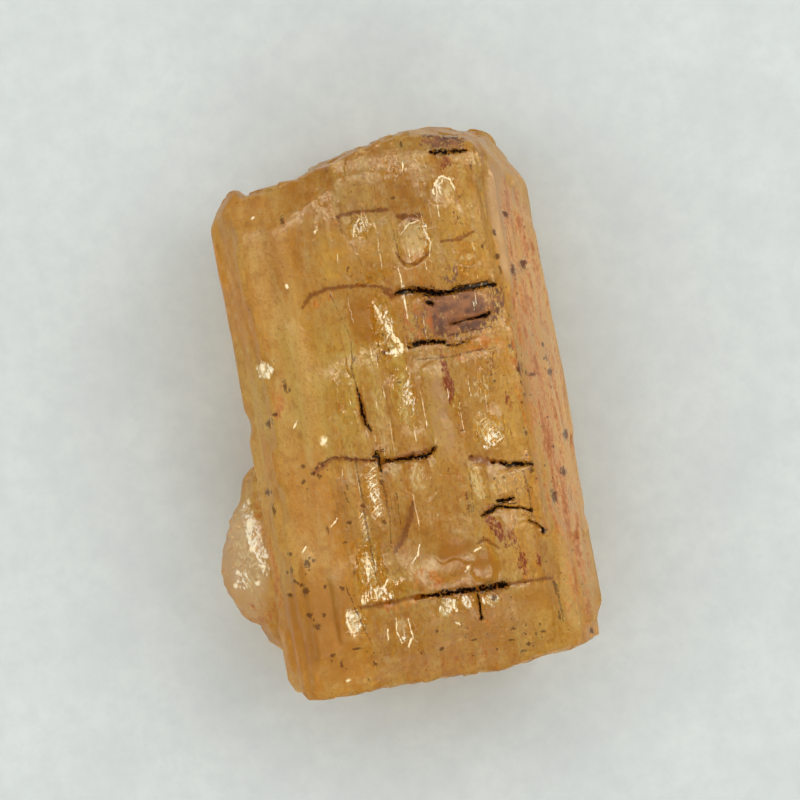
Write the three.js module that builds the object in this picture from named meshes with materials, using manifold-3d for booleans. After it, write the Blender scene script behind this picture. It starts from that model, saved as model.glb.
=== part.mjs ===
// Rough topaz crystal: a striated prism broken across its cleavage at both ends, with cleavage
// ledges, growth ribs, a conchoidal hollow and a side lump grown into it. It is one solid piece.
// Millimetres, +Z up. The c axis lies along Y, and the crystal rests on one prism face at z = 0.

import * as THREE from "three";
import { ConvexGeometry } from "three/addons/geometries/ConvexGeometry.js";
import { mergeVertices } from "three/addons/utils/BufferGeometryUtils.js";
import Module from "manifold-3d";

const wasm = await Module();
wasm.setup();

// ---- Driving dimensions ----

const THICKNESS = 9.8; // from the resting face to the highest rib of the upper face
const LOW_END = -10.95; // y of the lower broken end
const HIGH_END = 11.02; // y of the upper broken end
const BOX_CENTRE = { x: -0.942, y: 0.05 }; // middle of the finished crystal, from the prism's c axis

// Prism faces in order round the section, clockwise from the upper face. "angle" is the face
// normal's angle from +X towards +Z, set by topaz's axial ratio with one {110} face turned down.
// "reach" is the face's distance from the section's centre.
const FACES = [
  { name: "upper m", angle: 90, reach: 4.9 },
  { name: "right m", angle: 34.4, reach: 6.48 },
  { name: "right l", angle: 15.6, reach: 6.54 },
  { name: "right b", angle: -27.8, reach: 5.46 },
  { name: "under l", angle: -71.2, reach: 5.375 },
  { name: "lower m", angle: -90, reach: 4.9 },
  { name: "left m", angle: 214.4, reach: 5.385 },
  { name: "left l", angle: 195.6, reach: 5.68 },
  { name: "left b", angle: 152.2, reach: 6.68 },
  { name: "upper l", angle: 108.8, reach: 5.67 },
];

// The crystal is a stack of slabs between cleavage planes, each listed from its lower plane to its
// upper one. "inset" is how far each face of a slab stands inside FACES, in the same order. The
// lower faces are cut flat at z = 0 afterwards.
const SLABS = [
  { from: LOW_END, to: -7.42, inset: [0.42, 0.33, 0.45, 0.32, 0.12, -0.21, 0.05, -0.05, 0.08, 0.2] },
  { from: -7.42, to: -5.68, inset: [0.27, 0.28, 0.4, 0.36, 0.05, -0.24, 0.09, 0.03, 0.04, 0.16] },
  { from: -5.68, to: -1.78, inset: [0.33, 0.08, 0.12, 0.12, 0.09, -0.27, 0.02, 0.06, 0.1, 0.1] },
  { from: -1.78, to: 2.3, inset: [0.29, 0.03, 0.06, 0.08, 0.02, -0.3, 0.06, 0.09, 0.14, 0.05] },
  { from: 2.3, to: 4.7, inset: [0.36, 0.06, 0.11, 0.09, 0.07, -0.33, 0.01, 0.12, 0.12, 0.08] },
  { from: 4.7, to: 8.7, inset: [0.17, 0.17, 0.38, 0.36, 0.04, -0.36, 0.08, 0.07, 0.06, 0.02] },
  { from: 8.7, to: HIGH_END + 0.3, inset: [0.23, 0.24, 0.44, 0.42, 0.1, -0.39, 0.03, 0.1, 0.17, 0.12] },
];
const SLAB_LAP = 0.4; // how far a slab reaches down into the one below it

// Columns and plates of the upper face: [x from, x to, y from, y to, height of the top at its low-x
// side, at its high-x side]. They are the face's growth ribs, ended by cleavage.
const UPPER_PLATES = [
  [-3.12, -2.1, 5.12, 8.95, 9.66, 9.76], // clear yellow panel
  [-2.08, -0.98, 5.28, 8.35, 9.78, 9.72],
  [-0.95, -0.1, 5.05, 7.02, 9.7, 9.75],
  [-1.3, 0.62, 8.08, 9.85, 9.74, 9.79],
  [0.28, 0.7, 4.78, 7.6, 9.8, 9.77],
  [1.15, 2.0, 7.55, 9.6, 9.72, 9.8],
  [2.05, 2.45, 4.7, 8.9, 9.8, 9.72],
  [2.75, 4.25, 4.62, 5.15, 9.76, 9.7],
  [3.2, 4.3, 5.7, 7.7, 9.78, 9.7],
  [3.72, 4.35, 7.85, 9.62, 9.76, 9.72],
  [-3.15, -1.9, 2.55, 4.72, 9.52, 9.6],
  [-1.85, -0.72, 2.75, 4.95, 9.63, 9.56],
  [-0.62, -0.3, 1.9, 4.85, 9.6, 9.66],
  [-0.22, 0.26, 2.1, 4.9, 9.56, 9.62],
  [0.62, 0.8, 2.6, 4.5, 9.64, 9.64],
  [0.9, 2.35, 2.62, 4.3, 9.6, 9.58],
  [2.45, 4.1, 3.18, 4.1, 9.6, 9.54],
  [2.2, 3.95, 1.88, 2.6, 9.66, 9.6],
  [0.87, 1.87, -2.95, 1.76, 9.8, 9.68], // the smooth rib
  [-3.1, -2.45, -1.45, 2.1, 9.6, 9.66],
  [-2.4, -1.76, -1.6, 2.35, 9.69, 9.64],
  [-1.58, -0.78, -1.72, 2.5, 9.66, 9.7],
  [-0.66, -0.02, -1.7, 1.22, 9.74, 9.68],
  [0.06, 0.74, -1.68, 1.6, 9.64, 9.7],
  [2.1, 2.95, -0.25, 1.7, 9.66, 9.7],
  [3.02, 3.88, -0.1, 1.72, 9.72, 9.64],
  [2.7, 3.8, -2.1, -0.5, 9.64, 9.7],
  [3.98, 4.38, -2.05, 1.9, 9.74, 9.66],
  [-3.15, -2.36, -4.85, -2.05, 9.6, 9.66],
  [-2.2, -1.42, -5.15, -2.0, 9.74, 9.64],
  [-1.25, -0.62, -3.3, -2.02, 9.6, 9.66],
  [-0.5, 0.6, -3.35, -2.0, 9.72, 9.64],
  [2.0, 2.72, -4.3, -2.4, 9.76, 9.7],
  [2.95, 4.28, -4.05, -3.05, 9.68, 9.6],
  [2.5, 3.1, -6.9, -4.85, 9.68, 9.72],
  [3.2, 4.36, -7.2, -5.1, 9.7, 9.62],
  [-2.95, -1.8, -7.2, -5.3, 9.66, 9.74],
  [-3.85, -3.05, -8.6, -7.35, 9.52, 9.46],
  [-1.9, -1.22, -9.1, -7.85, 9.44, 9.52],
  [-0.05, 0.72, -8.5, -7.58, 9.5, 9.46],
  [0.86, 1.4, -8.35, -7.58, 9.5, 9.48],
  [1.68, 2.45, -8.45, -7.58, 9.46, 9.5],
  [2.9, 4.4, -8.9, -7.62, 9.5, 9.42],
];

// Striations that run the whole length of each slab: "pitch" is the usual distance between two
// grooves of a face and "depth" the usual depth, in the order of FACES. The lower face has none.
const STRIATIONS = [
  { pitch: 1.6, depth: 0.06 },
  { pitch: 0.55, depth: 0.11 },
  { pitch: 0.6, depth: 0.1 },
  { pitch: 0.95, depth: 0.13 },
  { pitch: 1.1, depth: 0.1 },
  { pitch: Infinity, depth: 0 },
  { pitch: 1.1, depth: 0.12 },
  { pitch: 0.9, depth: 0.13 },
  { pitch: 0.8, depth: 0.1 },
  { pitch: 1.2, depth: 0.06 },
];

// Growth ribs that stand on the faces: how wide and long they are, how high over the face's reach
// they rise, and the share of the face that they leave bare.
const RIB_ROWS = [
  { face: 1, width: [0.35, 0.6], length: [2.5, 6.5], rise: [0.0, 0.08], bare: 0.62, seed: 11 },
  { face: 2, width: [0.4, 0.7], length: [2.4, 7.0], rise: [-0.12, 0.0], bare: 0.55, seed: 22 },
  { face: 3, width: [0.7, 1.3], length: [2.5, 6.5], rise: [-0.1, 0.02], bare: 0.55, seed: 23 },
  { face: 4, width: [0.9, 1.5], length: [3.0, 7.0], rise: [0.0, 0.08], bare: 0.6, seed: 14 },
  { face: 6, width: [0.8, 1.5], length: [3.0, 7.0], rise: [0.0, 0.1], bare: 0.55, seed: 15 },
  { face: 7, width: [0.6, 1.2], length: [2.5, 6.0], rise: [0.0, 0.1], bare: 0.55, seed: 16 },
  { face: 8, width: [0.6, 1.1], length: [2.2, 6.0], rise: [0.0, 0.08], bare: 0.55, seed: 17 },
  { face: 9, width: [0.6, 1.2], length: [2.5, 6.5], rise: [0.0, 0.05], bare: 0.55, seed: 18 },
];
const RIB_SINK = 0.5; // how deep a side rib's foot stands in the crystal
const RIB_GAP = 0.06; // bare line between neighbouring ribs
const RIB_SHORTEST = 2; // no side rib is shorter
const RIB_TAPER = [0.2, 1.1]; // how far the ends of a side rib slope
const PLATE_SINK = 1.2; // how far an upper plate's foot lies below the highest rib
const PLATE_TAPER = [0.04, 0.34]; // how far the ends of an upper plate slope
const END_SKEW = { rib: 0.5, plate: 0.3 }; // most that the two sides of an end part along y
const TOP_TILT = 0.06; // most that a side rib's top drops across its width
const CLEAVAGE_WAVE = 0.09; // how far a cleavage ledge wanders along the c axis

// Broken surfaces: a point on each, its outward normal, the extent of the block that it takes
// away (across, along, deep) and the height of its facets.
const BREAKS = [
  { at: [1.6, 10.98, 5], out: [0, 1, 0.04], size: [16, 14, 3], bump: 0.06, seed: 21 },
  { at: [4.1, 10.62, 5], out: [0.3, 0.95, 0.1], size: [9, 14, 3], bump: 0.07, seed: 22 },
  { at: [5.55, 9.2, 6.2], out: [0.84, 0.53, 0.16], size: [5, 13, 3], bump: 0.08, seed: 23 },
  { at: [-0.6, 10.46, 5], out: [-0.22, 0.97, 0.03], size: [9, 14, 3], bump: 0.07, seed: 24 },
  { at: [1.9, 10.35, 9.3], out: [0.05, 0.52, 0.86], size: [8, 5, 2], bump: 0.09, seed: 25 },
  { at: [-1.6, 10.1, 9.35], out: [-0.28, 0.34, 0.9], size: [7, 5, 2], bump: 0.09, seed: 26 },
  { at: [-5.85, 9.3, 5], out: [-0.75, 0.65, 0.05], size: [4, 13, 3], bump: 0.07, seed: 27 },
  { at: [-5.0, 9.35, 8.3], out: [-0.22, 0.5, 0.84], size: [7, 4, 3], bump: 0.08, seed: 28 },
  { at: [1.0, 10.6, 1.4], out: [0.05, 0.72, -0.7], size: [16, 4, 3], bump: 0.12, seed: 29 },
  { at: [2.9, 10.6, 2.7], out: [0.04, 1, -0.06], size: [6.2, 3.2, 3], bump: 0.05, seed: 51 },
  { at: [-0.7, 10.3, 6.3], out: [-0.12, 1, 0.05], size: [3.4, 2.6, 3], bump: 0.05, seed: 52 },
  { at: [-5.1, 9.42, 3.1], out: [-0.1, 1, 0.02], size: [4.2, 4.4, 3], bump: 0.06, seed: 53 },
  { at: [0.0, -10.74, 5], out: [-0.02, -1, -0.03], size: [16, 14, 3], bump: 0.1, seed: 31 },
  { at: [4.3, -10.4, 3.4], out: [0.06, -1, 0.03], size: [5.2, 4.0, 3], bump: 0.05, seed: 54 },
  { at: [-3.9, -10.5, 6.3], out: [-0.08, -1, -0.05], size: [4.4, 2.9, 3], bump: 0.05, seed: 55 },
  { at: [0.3, -10.45, 1.6], out: [0.02, -1, -0.1], size: [4.0, 2.6, 3], bump: 0.05, seed: 56 },
  { at: [0.4, -9.75, 8.75], out: [0.03, -0.46, 0.89], size: [15, 4, 3], bump: 0.1, seed: 32 },
  { at: [4.6, -10.5, 5], out: [0.14, -1, 0.02], size: [5, 14, 3], bump: 0.07, seed: 33 },
  { at: [-6.25, -10.1, 5], out: [-0.8, -0.6, 0], size: [4, 13, 3], bump: 0.08, seed: 34 },
  { at: [-1.0, -10.5, 2.0], out: [-0.05, -0.86, -0.5], size: [16, 5, 3], bump: 0.12, seed: 35 },
];
const BREAK_FACET = 1.4; // width of one facet of a broken surface

// The upper end's left part broke off on a lower cleavage plane.
const SHORT_CORNER = { left: -9, right: -2.22, end: 9.78, bump: 0.07, seed: 51 };

// Hollows: centre, half-extents and the turn about Z. Each is the dish that a flake left.
const HOLLOWS = [
  { at: [0.75, -5.75, 9.95], radii: [2.0, 1.45, 1.0], turn: 12 },
  { at: [-0.45, -5.0, 9.95], radii: [1.05, 1.7, 0.75], turn: -24 },
  { at: [2.05, -6.6, 9.9], radii: [1.0, 0.95, 0.7], turn: 0 },
  { at: [1.5, 6.5, 10.1], radii: [0.75, 1.0, 0.75], turn: 0 },
  { at: [3.0, 8.35, 10.0], radii: [0.6, 0.62, 0.42], turn: 0 },
  { at: [-0.5, 7.45, 9.95], radii: [0.6, 0.5, 0.4], turn: 15 },
  { at: [2.45, 1.05, 9.95], radii: [0.4, 1.0, 0.42], turn: 4 },
  { at: [0.3, -0.3, 10.0], radii: [0.26, 1.2, 0.42], turn: -5 },
  { at: [-0.35, 3.4, 9.85], radii: [0.24, 1.3, 0.45], turn: 3 },
  { at: [-1.75, -3.1, 10.0], radii: [0.33, 1.2, 0.5], turn: 0 },
  { at: [-2.3, -6.1, 9.95], radii: [0.4, 0.95, 0.5], turn: 5 },
  { at: [-5.2, 2.5, 9.1], radii: [0.3, 0.6, 0.3], turn: 0 },
  { at: [-6.75, 0.45, 7.0], radii: [0.65, 0.7, 1.9], turn: 0 },
  { at: [7.0, -5.3, 6.2], radii: [0.75, 0.5, 1.2], turn: 0 },
  { at: [-6.9, 5.4, 3.6], radii: [1.0, 1.5, 1.3], turn: 0 },
  { at: [6.2, 2.4, 2.0], radii: [1.0, 2.1, 1.2], turn: 0 },
];
const FINE_HOLLOW = 1.1; // a hollow longer than this gets a finer sphere

// Open cleavage cracks of the upper face: the line that each follows in plan, how wide it gapes
// and how deep it goes.
const CRACKS = [
  { gape: 0.2, deep: 0.45, line: [[0.45, 4.6], [1.1, 4.66], [1.7, 4.5], [2.3, 4.3], [4.4, 4.27]] },
  { gape: 0.16, deep: 0.4, line: [[0.6, 2.47], [1.3, 2.52], [2.05, 2.38], [2.5, 2.22], [2.95, 2.27]] },
  { gape: 0.16, deep: 0.5, line: [[2.7, 9.93], [3.3, 9.8], [4.2, 9.7]] },
  { gape: 0.14, deep: 0.4, line: [[-4.0, -1.83], [-3.2, -1.4], [-2.3, -1.57], [-1.2, -1.86], [0.8, -1.9]] },
  { gape: 0.15, deep: 0.4, line: [[2.2, -2.27], [3.0, -2.6], [3.6, -2.75], [4.62, -2.98]] },
  { gape: 0.12, deep: 0.35, line: [[2.3, -4.6], [2.9, -4.42], [3.6, -4.5], [4.25, -4.75]] },
  { gape: 0.18, deep: 0.55, line: [[-3.0, -7.4], [-0.6, -7.42], [1.0, -7.48], [2.8, -7.52], [4.5, -7.56]] },
];
const CRACK_STEP = 0.45; // spacing of the points along a crack's edge
const CRACK_JAG = 0.03; // how far those points stray to the side
const CRACK_FLOOR_FROM = THICKNESS - 0.3; // the level that a crack's depth is measured from
const CRACK_RUNOUT = 1; // how far a crack's blade stands above that level

// A second, smaller growth on the left side: rounded, with a few flat faces.
const LUMPS = [
  { at: [-6.35, -5.1, 3.9], radii: [2.2, 3.1, 3.0], points: 44, seed: 41 },
  { at: [-6.15, -2.9, 3.4], radii: [1.25, 1.9, 2.4], points: 30, seed: 42 },
  { at: [-5.9, -7.4, 3.7], radii: [1.45, 1.6, 2.7], points: 30, seed: 43 },
];
const LUMP_SPREAD = 0.16; // how uneven a lump's radius is

const SHORTEST_EDGE = 0.012; // shorter edges, left by the cuts, are closed up

const AMBER = 0xb5863f;

// ---- Helpers ----

const SECTION_Z = THICKNESS / 2; // height of the section's centre

// A repeatable stream of numbers from 0 to 1.
function randomStream(seed) {
  let state = seed * 2654435761;
  return () => {
    state = (state + 0x6d2b79f5) | 0;
    let mixed = Math.imul(state ^ (state >>> 15), 1 | state);
    mixed = (mixed + Math.imul(mixed ^ (mixed >>> 7), 61 | mixed)) ^ mixed;
    return ((mixed ^ (mixed >>> 14)) >>> 0) / 4294967296;
  };
}

function between([low, high], random) {
  return low + (high - low) * random();
}

// A geometry with shared corners merged, so that it is one closed surface.
function closedGeometry(geometry) {
  geometry.deleteAttribute("normal");
  geometry.deleteAttribute("uv");
  return mergeVertices(geometry, 1e-5);
}

function solidOf(geometry) {
  const closed = closedGeometry(geometry);
  return new wasm.Manifold(
    new wasm.Mesh({
      numProp: 3,
      vertProperties: new Float32Array(closed.attributes.position.array),
      triVerts: new Uint32Array(closed.index.array),
    }),
  );
}

// Moves each corner of a closed geometry by a function of that corner.
function reshape(geometry, move) {
  const position = geometry.attributes.position;
  const corner = new THREE.Vector3();
  for (let i = 0; i < position.count; i++) {
    corner.fromBufferAttribute(position, i);
    move(corner);
    position.setXYZ(i, corner.x, corner.y, corner.z);
  }
  return geometry;
}

// Corners next to a corner of a closed surface, over the triangles that meet there.
function neighboursOf(corner, meeting, triangles) {
  const found = new Set(meeting[corner].flatMap((t) => triangles[t]));
  found.delete(corner);
  return found;
}

// Closes each edge shorter than SHORTEST_EDGE that the cuts leave, where its two corners have just
// two neighbours in common, so that the surface stays closed. Returns the new triangles.
function closeShortEdges(position, index) {
  const corners = Array.from({ length: position.count }, (_, i) =>
    new THREE.Vector3().fromBufferAttribute(position, i),
  );
  const triangles = [];
  for (let i = 0; i < index.count; i += 3) {
    triangles.push([index.getX(i), index.getX(i + 1), index.getX(i + 2)]);
  }
  const meeting = corners.map(() => []);
  triangles.forEach((triangle, t) => triangle.forEach((corner) => meeting[corner].push(t)));
  for (let t = 0; t < triangles.length; t++) {
    for (let side = 0; side < 3 && triangles[t].length; side++) {
      const [first, second] = [triangles[t][side], triangles[t][(side + 1) % 3]];
      if (corners[first].distanceTo(corners[second]) >= SHORTEST_EDGE) continue;
      const [kept, gone] = corners[first].z <= corners[second].z ? [first, second] : [second, first];
      const beside = neighboursOf(gone, meeting, triangles);
      const shared = [...neighboursOf(kept, meeting, triangles)].filter((c) => beside.has(c));
      if (shared.length !== 2) continue;
      for (const touching of meeting[gone]) {
        const doubled = triangles[touching].includes(kept);
        const turned = triangles[touching].map((c) => (c === gone ? kept : c));
        triangles[touching] = doubled ? [] : turned;
        if (!doubled) meeting[kept].push(touching);
      }
      meeting[gone] = [];
      for (const corner of [kept, ...shared]) {
        meeting[corner] = meeting[corner].filter((touching) => triangles[touching].length);
      }
    }
  }
  return triangles.flat();
}

// ---- Prism ----

const FACE_LINES = FACES.map(({ angle }) => {
  const turn = THREE.MathUtils.degToRad(angle);
  return {
    out: new THREE.Vector2(Math.cos(turn), Math.sin(turn)),
    along: new THREE.Vector2(Math.sin(turn), -Math.cos(turn)),
  };
});

// Where two faces of the section meet, from their normals and reaches.
function sectionCorner(first, second, reachFirst, reachSecond) {
  const a = FACE_LINES[first].out;
  const b = FACE_LINES[second].out;
  const cross = a.x * b.y - a.y * b.x;
  return new THREE.Vector2(
    (reachFirst * b.y - reachSecond * a.y) / cross,
    (reachSecond * a.x - reachFirst * b.x) / cross,
  );
}

function sectionCorners(reaches) {
  return FACES.map((face, i) => {
    const next = (i + 1) % FACES.length;
    return sectionCorner(i, next, reaches[i], reaches[next]);
  });
}

// Where the grooves and ridges of each face lie, as shares of its width: the same in every slab.
const GROOVE_SHARES = FACES.map((face, i) => {
  const random = randomStream(70 + i);
  const reaches = FACES.map(({ reach }) => reach);
  const corners = sectionCorners(reaches);
  const width = corners[i].distanceTo(corners[(i + FACES.length - 1) % FACES.length]);
  const count = Math.floor(width / STRIATIONS[i].pitch) * 2;
  return Array.from({ length: Math.max(count - 1, 0) }, (_, k) => (k + 1 + 0.7 * (random() - 0.5)) / count);
});

function slabOutline(reaches, random) {
  const corners = sectionCorners(reaches);
  const outline = [];
  FACES.forEach((face, i) => {
    const start = corners[(i + FACES.length - 1) % FACES.length];
    outline.push(start);
    GROOVE_SHARES[i].forEach((share, k) => {
      const groove = k % 2 === 0;
      const depth = STRIATIONS[i].depth * (groove ? 0.5 + 0.8 * random() : 0.25 * random());
      const point = start.clone().lerp(corners[i], share);
      outline.push(point.addScaledVector(FACE_LINES[i].out, -depth));
    });
  });
  return outline.reverse();
}

// How far the cleavage plane "plane" lies from its nominal height on the c axis, over x and z.
function cleavageWave(x, z, plane) {
  return CLEAVAGE_WAVE * (Math.sin(0.9 * x + 2.1 * plane) + Math.sin(0.7 * z + 1.3 * x + plane));
}

function slabSolid({ from, to, inset }, index) {
  const low = from - SLAB_LAP;
  const reaches = FACES.map((face, i) => face.reach - inset[i]);
  const outline = new THREE.Shape(slabOutline(reaches, randomStream(90 + index)));
  const extruded = new THREE.ExtrudeGeometry(outline, { depth: to - low, bevelEnabled: false });
  extruded.rotateX(Math.PI / 2);
  extruded.translate(0, to, SECTION_Z);
  const middle = (low + to) / 2;
  const slab = reshape(closedGeometry(extruded), (corner) => {
    const plane = corner.y < middle ? index : index + 1;
    corner.y += cleavageWave(corner.x, corner.z, plane);
  });
  return solidOf(slab);
}

// ---- Ribs and plates ----

// A low rib with sloping sides and skewed ends: its foot goes from (x0, y0) to (x1, y1), z runs
// from the foot to the two heights of its top, "slope" is how far each side leans in and "skew"
// how far each end's low-x and high-x sides part along y.
function ribGeometry([x0, x1, y0, y1], foot, heights, slope, skew) {
  const box = closedGeometry(new THREE.BoxGeometry(2, 2, 2));
  const middle = { x: (x0 + x1) / 2, y: (y0 + y1) / 2 };
  const half = { x: (x1 - x0) / 2, y: (y1 - y0) / 2 };
  return reshape(box, (corner) => {
    const side = { x: corner.x, y: corner.y };
    const top = corner.z > 0;
    const end = side.y < 0 ? 0 : 1;
    corner.z = top ? heights[side.x < 0 ? 0 : 1] : foot;
    corner.x = middle.x + side.x * (half.x - (top ? slope.x : 0));
    corner.y = middle.y + side.y * (half.y - (top ? slope.y[end] : 0)) + (side.x * skew[end]) / 2;
  });
}

function upperPlate([x0, x1, y0, y1, lowSide, highSide], index) {
  const random = randomStream(200 + index);
  const slope = { x: 0.05, y: [between(PLATE_TAPER, random), between(PLATE_TAPER, random)] };
  const skew = [0, 1].map(() => END_SKEW.plate * (random() - 0.5));
  const foot = THICKNESS - PLATE_SINK;
  return solidOf(ribGeometry([x0, x1, y0, y1], foot, [lowSide, highSide], slope, skew));
}

// Stands a rib made over the plane z = 0 on a face of the section, at that face's reach.
function standOnFace(geometry, face) {
  const { out, along } = FACE_LINES[face];
  const basis = new THREE.Matrix4().makeBasis(
    new THREE.Vector3(along.x, 0, along.y),
    new THREE.Vector3(0, 1, 0),
    new THREE.Vector3(out.x, 0, out.y),
  );
  geometry.applyMatrix4(basis);
  geometry.translate(0, 0, SECTION_Z);
  return geometry;
}

function sideRibs({ face, width, length, rise, bare, seed }) {
  const random = randomStream(seed);
  const before = (face + FACES.length - 1) % FACES.length;
  const after = (face + 1) % FACES.length;
  const line = FACE_LINES[face];
  const reach = FACES[face].reach;
  const start = sectionCorner(before, face, FACES[before].reach, reach).dot(line.along);
  const end = sectionCorner(face, after, reach, FACES[after].reach).dot(line.along);
  const ribs = [];
  let across = start + RIB_GAP;
  while (across < end - width[0]) {
    const wide = Math.min(between(width, random), end - across - RIB_GAP);
    let y = LOW_END + 1.5 * random();
    while (y < HIGH_END - 1) {
      const long = Math.min(between(length, random), HIGH_END + 0.05 - y);
      const high = reach + between(rise, random);
      const drop = TOP_TILT * (random() - 0.5);
      const slope = { x: wide / 5, y: [between(RIB_TAPER, random), between(RIB_TAPER, random)] };
      const skew = [0, 1].map(() => END_SKEW.rib * (random() - 0.5));
      if (random() > bare && long > RIB_SHORTEST) {
        const foot = [across, across + wide, y, y + long];
        const rib = ribGeometry(foot, reach - RIB_SINK, [high + drop, high - drop], slope, skew);
        ribs.push(solidOf(standOnFace(rib, face)));
      }
      y += long + RIB_GAP + 0.8 * random();
    }
    across += wide + RIB_GAP;
  }
  return ribs;
}

// ---- Breaks, hollows and cracks ----

// A block whose near face is a rough broken surface through "at". Taking it away leaves that
// surface on the crystal.
function breakBlock({ at, out, size, bump, seed }) {
  const random = randomStream(seed);
  const [across, along, deep] = size;
  const columns = Math.round(across / BREAK_FACET);
  const rows = Math.round(along / BREAK_FACET);
  const block = closedGeometry(new THREE.BoxGeometry(across, along, deep, columns, rows, 1));
  reshape(block, (corner) => {
    const near = corner.z < 0;
    corner.z = near ? bump * (2 * random() - 1) : deep;
    corner.x += near ? 0.3 * BREAK_FACET * (random() - 0.5) : 0;
  });
  const normal = new THREE.Vector3(...out).normalize();
  const side = new THREE.Vector3(0, 0, 1).cross(normal);
  side.normalize();
  const rise = normal.clone().cross(side);
  block.applyMatrix4(new THREE.Matrix4().makeBasis(side, rise, normal));
  block.translate(...at);
  return solidOf(block);
}

function shortCorner({ left, right, end, bump, seed }) {
  const random = randomStream(seed);
  const beyond = HIGH_END + 1;
  const high = THICKNESS + 2;
  const box = closedGeometry(new THREE.BoxGeometry(right - left, beyond - end, high, 6, 1, 8));
  const block = reshape(box, (corner) => {
    corner.y += corner.y < 0 ? bump * (2 * random() - 1) : 0;
  });
  block.translate((left + right) / 2, (beyond + end) / 2, high / 2);
  return solidOf(block);
}

function hollowSolid({ at, radii, turn }) {
  const ball = new THREE.IcosahedronGeometry(1, Math.max(...radii) > FINE_HOLLOW ? 3 : 2);
  ball.scale(...radii);
  ball.rotateZ(THREE.MathUtils.degToRad(turn));
  ball.translate(...at);
  return solidOf(ball);
}

// A jagged blade along a crack's line: taking it away leaves the crack open.
function crackSolid({ line, gape, deep }, index) {
  const random = randomStream(61 + index);
  const path = new THREE.CatmullRomCurve3(line.map(([x, y]) => new THREE.Vector3(x, y, 0)));
  const steps = Math.ceil(path.getLength() / CRACK_STEP);
  const left = [];
  const right = [];
  for (let i = 0; i <= steps; i++) {
    const share = i / steps;
    const point = path.getPointAt(share);
    const tangent = path.getTangentAt(share);
    const half = (gape / 2) * (0.25 + 0.75 * Math.sin(Math.PI * share) ** 0.4);
    const stray = CRACK_JAG * (2 * random() - 1);
    const side = new THREE.Vector2(-tangent.y, tangent.x);
    const centre = new THREE.Vector2(point.x, point.y).addScaledVector(side, stray);
    left.push(centre.clone().addScaledVector(side, half));
    right.push(centre.clone().addScaledVector(side, -half));
  }
  const outline = new THREE.Shape([...right, ...left.reverse()]);
  const blade = new THREE.ExtrudeGeometry(outline, { depth: deep + CRACK_RUNOUT, bevelEnabled: false });
  blade.translate(0, 0, CRACK_FLOOR_FROM - deep);
  return solidOf(blade);
}

// ---- Lumps ----

function lumpSolid({ at, radii, points, seed }) {
  const random = randomStream(seed);
  const cloud = [];
  for (let i = 0; i < points; i++) {
    const height = 1 - (2 * (i + 0.5)) / points;
    const ring = Math.sqrt(1 - height * height);
    const turn = i * Math.PI * (3 - Math.sqrt(5));
    const size = 1 - LUMP_SPREAD * random();
    const point = new THREE.Vector3(ring * Math.cos(turn), ring * Math.sin(turn), height);
    cloud.push(point.multiplyScalar(size).multiply(new THREE.Vector3(...radii)));
  }
  const lump = new ConvexGeometry(cloud);
  lump.translate(...at);
  return solidOf(lump);
}

// ---- Assembly ----

// Everything below the resting plane.
function belowFloor() {
  const wide = 2 * (HIGH_END - LOW_END);
  const deep = THICKNESS;
  const block = new THREE.BoxGeometry(wide, wide, deep);
  block.translate(0, 0, -deep / 2);
  return solidOf(block);
}

function crystalSolid() {
  const grown = [
    ...SLABS.map(slabSolid),
    ...UPPER_PLATES.map(upperPlate),
    ...RIB_ROWS.flatMap(sideRibs),
  ].reduce((whole, piece) => whole.add(piece));
  const cut = [
    ...BREAKS.map(breakBlock),
    shortCorner(SHORT_CORNER),
    ...HOLLOWS.map(hollowSolid),
    ...CRACKS.map(crackSolid),
  ].reduce((whole, piece) => whole.subtract(piece), grown);
  const lumpy = LUMPS.map(lumpSolid).reduce((whole, piece) => whole.add(piece), cut);
  return lumpy.subtract(belowFloor());
}

function crystalMesh() {
  const made = crystalSolid().getMesh();
  const geometry = new THREE.BufferGeometry();
  const position = new THREE.BufferAttribute(made.vertProperties, made.numProp);
  geometry.setAttribute("position", position);
  geometry.setIndex(closeShortEdges(position, new THREE.BufferAttribute(made.triVerts, 1)));
  geometry.translate(-BOX_CENTRE.x, -BOX_CENTRE.y, 0);
  geometry.computeVertexNormals();
  const amber = new THREE.MeshStandardMaterial({ color: AMBER, roughness: 0.25, metalness: 0 });
  const mesh = new THREE.Mesh(geometry, amber);
  mesh.name = "crystal";
  return mesh;
}

const topaz = new THREE.Group();
topaz.add(crystalMesh());

export default topaz;
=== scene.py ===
"""Looks of a rough topaz crystal that lies on a pale floor.

Shapes are worked out in millimetres on the crystal's own axes: u across the prism, v along the
c axis and z up from the floor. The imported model's frame is the same, moved by AXIS_SHIFT.
"""

import math

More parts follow.
